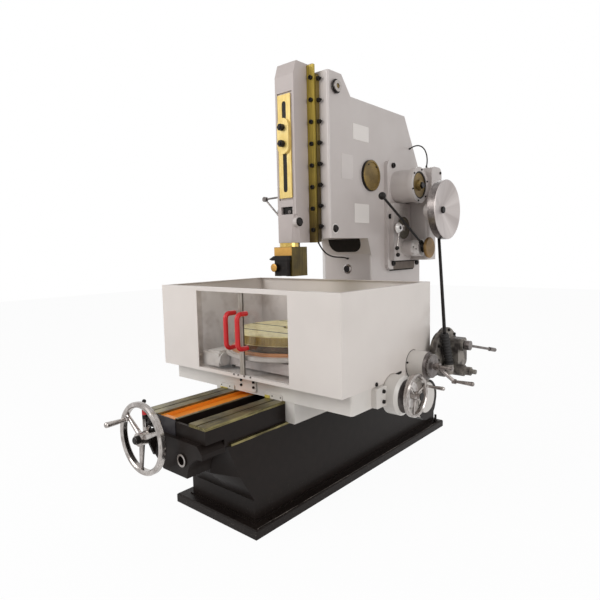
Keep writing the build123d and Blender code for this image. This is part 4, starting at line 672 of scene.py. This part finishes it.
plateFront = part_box("saddle_front_plate")[0][1]
fitPiece("front_plate_screws", socketScrew, {"radius": 0.0068, "height": 0.007}, toFront,
         [(x, plateFront, z) for x in (-0.063, 0.0265) for z in (0.590, 0.616)], blackOxide, "saddle")
fitPiece("drum_lug_screws", socketScrew, {"radius": 0.009, "height": 0.009}, toRight,
         [(0.644, -0.1124, 0.6225), (0.644, -0.113, 0.5745)], blackOxide, "saddle")

crossAxis, turnAxis = (0.025, 0.586), (0.200, 0.692)
dials = {"cross_dial": {"axis": crossAxis, "radius": 0.060, "start": 0.6985, "length": 0.016},
         "turn_dial": {"axis": turnAxis, "radius": 0.057, "start": 0.7205, "length": 0.015}}
marks = {"count": 80, "every": 5, "long": 0.008, "short": 0.005, "wide": 0.0007, "high": 0.0003,
         "corner": 0.0001, "inner": 0.0002, "outer": 0.0010}
for name, dial in dials.items():
    # a graduated collar about X: a steel sleeve with short pale lines cut across its outer edge
    y, z = dial["axis"]
    outer = dial["radius"] + marks["outer"]
    sleeve = band(dial["radius"] + marks["inner"], outer, dial["length"])
    addPiece(name, [placed(sleeve, (dial["start"], y, z), toRight)], dialMetal, "saddle")
    lines = []
    for k in range(marks["count"]):
        a = 2 * math.pi * k / marks["count"]
        reach = marks["short"] if k % marks["every"] else marks["long"]
        line = slab((marks["wide"], reach, marks["high"]), marks["corner"], steps=2)
        turn = np.stack([(0, -math.sin(a), math.cos(a)), (1, 0, 0), (0, math.cos(a), math.sin(a))], axis=1)
        where = (dial["start"] + dial["length"] - reach / 2, y + outer * math.cos(a),
                 z + outer * math.sin(a))
        lines.append((line[0] @ turn.T + np.array(where), line[1]))
    addPiece(name + "_lines", lines, plateMetal, "saddle")

fitPiece("side_wheel_nut", cap, {"radius": 0.0192, "height": 0.0035}, toRight, [(0.7641, *crossAxis)],
         blackOxide, "side_wheel")
fitPiece("front_wheel_nut", cap, {"radius": 0.0185, "height": 0.019, "bevel": 0.3}, toFront,
         [(-0.120, -0.9032, 0.457)], blackOxide, "front_wheel")
fitPiece("clutch_grip", cap, {"radius": 0.0122, "height": 0.030}, toTop, [(-0.157, -0.839, 0.549)],
         redPlastic, "base")
addPiece("clutch_collar", [placed(cap(radius=0.0118, height=0.018, bevel=0.05), (-0.157, -0.839, 0.530)),
                           placed(ball(radius=0.0096), (-0.157, -0.839, 0.609)),
                           placed(ball(radius=0.0125), (-0.122, -0.839, 0.517))], blackPlastic, "base")
fitPiece("gear_block_ring", band, {"inner": 0.0198, "outer": 0.0284, "height": 0.0015}, toFront,
         [(0.092, -0.831, 0.394)], brightMetal, "base")

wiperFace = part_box("way_wipers")[0][1]
felts = {"out": 0.001, "z": 0.5524, "corner": 0.001,
         "sizes": {-0.205: (0.060, 0.004, 0.0038), 0.118: (0.034, 0.004, 0.014)}}
addPiece("way_wiper_felts", [placed(slab(size, felts["corner"]), (x, wiperFace - felts["out"], felts["z"]))
                             for x, size in felts["sizes"].items()], yellowFelt, "saddle")
fitPiece("way_wiper_screws", cap, {"radius": 0.0035, "height": 0.002}, toFront,
         [(x, wiperFace, 0.5665) for x in (-0.222, -0.158, 0.150, 0.205)], blackOxide, "saddle")
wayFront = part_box("bed_ways")[0][1]
coverSunk = 0.0002
fitPiece("trough_front_cover", slab, {"size": (0.139, 0.079, 0.003), "corner": 0.002}, toFront,
         [(-0.0505, wayFront - coverSunk, 0.5095)], steelCover, "base")
fitPiece("gearbox_flange_screws", socketScrew, {"radius": 0.008, "height": 0.008}, toRight,
         ringPlaces(0.692, 0.452, 0.715, reach=0.118, first=0.2, count=10), blackOxide, "saddle")

# rubber bellows: the radius follows a cosine along the boot, one wave for each ring
boot = {"top": (0.715, 0.368, 0.828), "low": (0.725, 0.400, 0.676), "rings": 9, "radius": 0.0195,
        "wave": 0.0035, "over": 0.003, "end": 0.004, "rowsPerRing": 8, "sharp": 60}
bootLine = np.array(boot["low"]) - np.array(boot["top"])
bootLength = float(np.linalg.norm(bootLine))
heights = np.linspace(boot["end"], bootLength - boot["end"], boot["rings"] * boot["rowsPerRing"] + 1)
turns = np.linspace(0, boot["rings"] * 2 * math.pi, len(heights))
wave = boot["radius"] - boot["wave"] * (0.5 + 0.5 * np.cos(turns))
profile = [(0, heights[0])] + list(zip(wave + boot["over"], heights)) + [(0, heights[-1])]
addPiece("boot_bellows", [placed(turned(profile, steps=24), boot["top"], bootLine)], bootRubber, "saddle",
         sharp=boot["sharp"])

# the lower drum: a black case with a white face, and a white skin on its near side
drumAxis, rearAxis = (0.215, 0.500), (0.238, 0.520)
addPiece("lower_drum_rear", [
    placed(band(inner=0.0764, outer=0.0872, height=0.055), (0.640, *drumAxis), toRight),
    placed(cap(radius=0.0854, height=0.0014, bevel=0.01), (0.694, *drumAxis), toRight),
    placed(cap(radius=0.088, height=0.054, bevel=0.05), (0.640, *rearAxis), toRight)],
         blackEnamel, "saddle")
fitPiece("lower_drum_front", cap, {"radius": 0.077, "height": 0.008, "bevel": 0.05}, toRight,
         [(0.6954, 0.205, 0.530)], whiteEnamel, "saddle")
sideSkin = {"x": 0.667, "size": (0.0535, 0.0215, 0.001), "corner": 0.0005, "radius": 0.0881,
            "from": 85, "to": 215, "count": 11}
skin = []
for centreY, centreZ in (drumAxis, rearAxis):
    for a in np.radians(np.linspace(sideSkin["from"], sideSkin["to"], sideSkin["count"])):
        outward = (0, math.cos(a), math.sin(a))
        skin.append(placed(slab(sideSkin["size"], sideSkin["corner"]),
                           (sideSkin["x"], centreY + sideSkin["radius"] * outward[1],
                            centreZ + sideSkin["radius"] * outward[2]), outward))
addPiece("lower_drum_side", skin, whiteEnamel, "saddle")

drumSlot = {"size": (0.058, 0.013, 0.0012), "corner": 0.0062, "place": (0.6231, 0.0610, 0.6680),
            "tilt": 0.06}
addPiece("saddle_drum_slot", [placed(slab(drumSlot["size"], drumSlot["corner"]), drumSlot["place"],
                                     toRight, drumSlot["tilt"])], blackOxide, "saddle")
fitPiece("turn_drum_screw", socketScrew, {"radius": 0.005, "height": 0.003}, (0, -0.970, 0.242),
         [(0.631, 0.135, 0.7082)], blackOxide, "saddle")
fitPiece("lug_corner_bolt", cap, {"radius": 0.0095, "height": 0.006, "bevel": 0.2}, toRight,
         [(0.6231, -0.1377, 0.6565)], blackOxide, "saddle")
# painted shadow: a thin black ring round the drum's root, for the shadow in the gap there
fitPiece("turn_drum_shadow_gap", band, {"inner": 0.0672, "outer": 0.0692, "height": 0.0010}, toRight,
         [(0.6231, *turnAxis)], blackOxide, "saddle")
fitPiece("turn_dial_face", band, {"inner": 0.0170, "outer": 0.0566, "height": 0.0008}, toRight,
         [(0.7361, *turnAxis)], darkSteel, "saddle")
fitPiece("cross_dial_face", band, {"inner": 0.0215, "outer": 0.0596, "height": 0.0006}, toRight,
         [(0.7151, *crossAxis)], noseMetal, "saddle")

# the drum's flat end lies round the wheel's shaft off centre, so its ring is wider on one side
drumEnd = {"start": 0.6981, "thick": 0.0006, "axis": (0.0, 0.583), "radius": 0.0786, "bore": 0.0228,
           "steps": 48}
a = np.linspace(0, 2 * math.pi, drumEnd["steps"], endpoint=False)
near, far = drumEnd["start"], drumEnd["start"] + drumEnd["thick"]
inner, outer = (drumEnd["bore"], *crossAxis), (drumEnd["radius"], *drumEnd["axis"])
ring = np.stack([np.stack([np.full_like(a, x), y + radius * np.cos(a), z + radius * np.sin(a)], -1)
                 for (radius, y, z), x in ((inner, near), (inner, far), (outer, far), (outer, near))], axis=1)
addPiece("cross_drum_end", [gridFaces(ring, True, True)], dialMetal, "saddle")
taper = {"start": 0.7100, "wide": 0.0673, "narrow": 0.0573, "length": 0.0100, "thick": 0.0008}
taperShape = turned([(taper["wide"], 0), (taper["wide"] + taper["thick"], 0),
                     (taper["narrow"] + taper["thick"], taper["length"]), (taper["narrow"], taper["length"]),
                     (taper["wide"], 0)], steps=48)
addPiece("turn_drum_taper", [placed(taperShape, (taper["start"], *turnAxis), toRight)], dialMetal, "saddle")

fitPiece("door_rail_bolts", socketScrew, {"radius": 0.0048, "height": 0.004}, toFront,
         [(x, -0.4002, 0.6625) for x in (-0.040, -0.008, 0.035, 0.078)], crankMetal, "saddle")
fitPiece("left_door_catch", slab, {"size": (0.022, 0.010, 0.004), "corner": 0.002}, toFront,
         [(-0.0507, -0.3892, 0.702)], blackOxide, "left_door")

# dark bars in the table's slots, just under its face, and thin skins on its side and neck
table = {"y": -0.005, "top": 0.850, "radius": 0.313, "rim": 0.004, "pitch": 0.172, "mouth": 0.0176,
         "bore": 0.052, "sunk": 0.0006, "deep": 0.004, "corner": 0.001}
slotBars = []
for step in (-1, 0, 1):
    reach = math.sqrt((table["radius"] - table["rim"]) ** 2 - (step * table["pitch"]) ** 2)
    ends = [(-reach, reach)] if step else [(-reach, -table["bore"]), (table["bore"], reach)]
    slotBars += [placed(slab((b - a, table["mouth"], table["deep"]), table["corner"]),
                        ((a + b) / 2, table["y"] + step * table["pitch"],
                         table["top"] - table["sunk"] - table["deep"])) for a, b in ends]
addPiece("table_slot_shadows", slotBars, blackOxide, "table")
fitPiece("table_side_band", band, {"inner": 0.3132, "outer": 0.3139, "height": 0.0415}, toTop,
         [(0, table["y"], 0.8025)], sideMetal, "table")
fitPiece("table_neck_band", band, {"inner": 0.2982, "outer": 0.2989, "height": 0.0280}, toTop,
         [(0, table["y"], 0.7695)], neckMetal, "table")
print("saddle fittings placed")

levelBolts = {"x": 0.262, "y": 1.2, "z": 0.044, "radius": 0.016, "height": 0.016, "stud": 0.050,
              "studRadius": 0.008, "studFlat": 0.006, "bevel": 0.003}
levelNut = hexNut(levelBolts["radius"], levelBolts["height"])[0]
tallStud = turned([(0, levelBolts["stud"]), (levelBolts["studFlat"], levelBolts["stud"]),
                   (levelBolts["studRadius"], levelBolts["stud"] - levelBolts["bevel"]),
                   (levelBolts["studRadius"], 0), (0, 0)], steps=16)
addPiece("foot_levelling_bolts", [placed(part, (side * levelBolts["x"], levelBolts["y"], levelBolts["z"]))
                                  for side in (-1, 1) for part in (levelNut, tallStud)],
         blackOxide, "base")
# pale dust along the foot's right edge, each strip as its front, back and width
footDust = {"edge": 0.2825, "z": 0.0441, "high": 0.0006, "corner": 0.0005,
            "strips": [(-0.580, 1.250, 0.0022), (-0.575, -0.470, 0.0040), (1.085, 1.215, 0.0085)]}
addPiece("foot_edge_dust", [placed(slab((wide, back - front, footDust["high"]), footDust["corner"]),
                                   (footDust["edge"] - wide / 2, (front + back) / 2, footDust["z"]))
                            for front, back, wide in footDust["strips"]], edgeDust, "base")
print("foot fittings placed")


def standing(name, data, sideways, upward, backward, place):
    # an object whose own X, Y and Z look along these three directions
    turn = np.eye(4)
    turn[:3, 0], turn[:3, 1], turn[:3, 2], turn[:3, 3] = sideways, upward, backward, place
    thing = bpy.data.objects.new(name, data)
    thing.matrix_world = Matrix(turn.tolist())
    bpy.context.scene.collection.objects.link(thing)
    return thing


yaw, pitch, roll = (math.radians(camera[k]) for k in ("yaw", "pitch", "roll"))
ahead = np.array([-math.sin(yaw) * math.cos(pitch), math.cos(yaw) * math.cos(pitch), -math.sin(pitch)])
level = np.array([math.cos(yaw), math.sin(yaw), 0.0])
upright = np.cross(level, ahead)
right = math.cos(roll) * level + math.sin(roll) * upright
above = -math.sin(roll) * level + math.cos(roll) * upright
eye = bpy.data.cameras.new("photo camera")
eye.lens, eye.sensor_width, eye.clip_end = camera["lens"], camera["sensor"], camera["farEnd"]
bpy.context.scene.camera = standing("photo camera", eye, right, above, -ahead, camera["place"])

light = {"world": 0.42, "floorWhite": 0.955, "floorHalf": 14, "lampSize": 2.6}
lamps = {"front key": {"place": (-1.6, -4.4, 3.4), "target": (0, 0, 1.1), "watts": 128},
         "right fill": {"place": (4.4, -0.6, 2.4), "target": (0.2, 0.3, 1.1), "watts": 62},
         "back rim": {"place": (-2.0, 4.2, 3.6), "target": (0, 0.5, 1.2), "watts": 30}}


def seenPlainly(tree):
    # 1 for the rays that should meet plain white: camera, transmission and glossy ones
    ray = addNode(tree, "ShaderNodeLightPath").outputs
    straight = addNode(tree, "ShaderNodeMath", {"operation": "MAXIMUM"},
                       {0: ray["Is Camera Ray"], 1: ray["Is Transmission Ray"]})
    seen = addNode(tree, "ShaderNodeMath", {"operation": "MAXIMUM"},
                   {0: straight.outputs[0], 1: ray["Is Glossy Ray"]})
    return seen.outputs[0]


def whiteGround():
    # matt white paper: it keeps the object's shadow, and a share of plain white lifts it to the backdrop
    material, tree = emptyMaterial("white paper")
    paper = addNode(tree, "ShaderNodeBsdfDiffuse", {"Color": linear("#F2F2F2")})
    glow = addNode(tree, "ShaderNodeEmission", {"Color": (1, 1, 1, 1), "Strength": 1.0})
    share = addNode(tree, "ShaderNodeMath", {"operation": "MULTIPLY", 1: light["floorWhite"]},
                    {0: seenPlainly(tree)})
    mix = addNode(tree, "ShaderNodeMixShader", {},
                  {0: share.outputs[0], 1: paper.outputs[0], 2: glow.outputs[0]})
    addNode(tree, "ShaderNodeOutputMaterial", {}, {"Surface": mix.outputs[0]})
    return material


half = light["floorHalf"]
ground = bpy.data.meshes.new("floor")
ground.from_pydata([(-half, -half, 0), (half, -half, 0), (half, half, 0), (-half, half, 0)], [],
                   [(0, 1, 2, 3)])
ground.materials.append(whiteGround())
floorObject = bpy.data.objects.new("floor", ground)
bpy.context.scene.collection.objects.link(floorObject)

world = bpy.data.worlds.new("studio")
bpy.context.scene.world = world
world.use_nodes = True
sky = world.node_tree
sky.nodes.clear()
white = addNode(sky, "ShaderNodeBackground", {"Color": (1, 1, 1, 1), "Strength": 1.0})
soft = addNode(sky, "ShaderNodeBackground", {"Color": (1, 1, 1, 1), "Strength": light["world"]})
skyMix = addNode(sky, "ShaderNodeMixShader", {},
                 {0: seenPlainly(sky), 1: soft.outputs[0], 2: white.outputs[0]})
addNode(sky, "ShaderNodeOutputWorld", {}, {"Surface": skyMix.outputs[0]})

for name, look in lamps.items():
    # a soft square lamp: its own Z looks away from the target
    lamp = bpy.data.lights.new(name, "AREA")
    lamp.size, lamp.energy = light["lampSize"], look["watts"]
    back = np.array(look["place"]) - np.array(look["target"])
    back /= np.linalg.norm(back)
    level = np.cross((0, 0, 1), back)
    level /= np.linalg.norm(level)
    standing(name, lamp, level, np.cross(back, level), back, look["place"])
bpy.context.scene.view_settings.view_transform = "Standard"
print("camera, floor and light set")
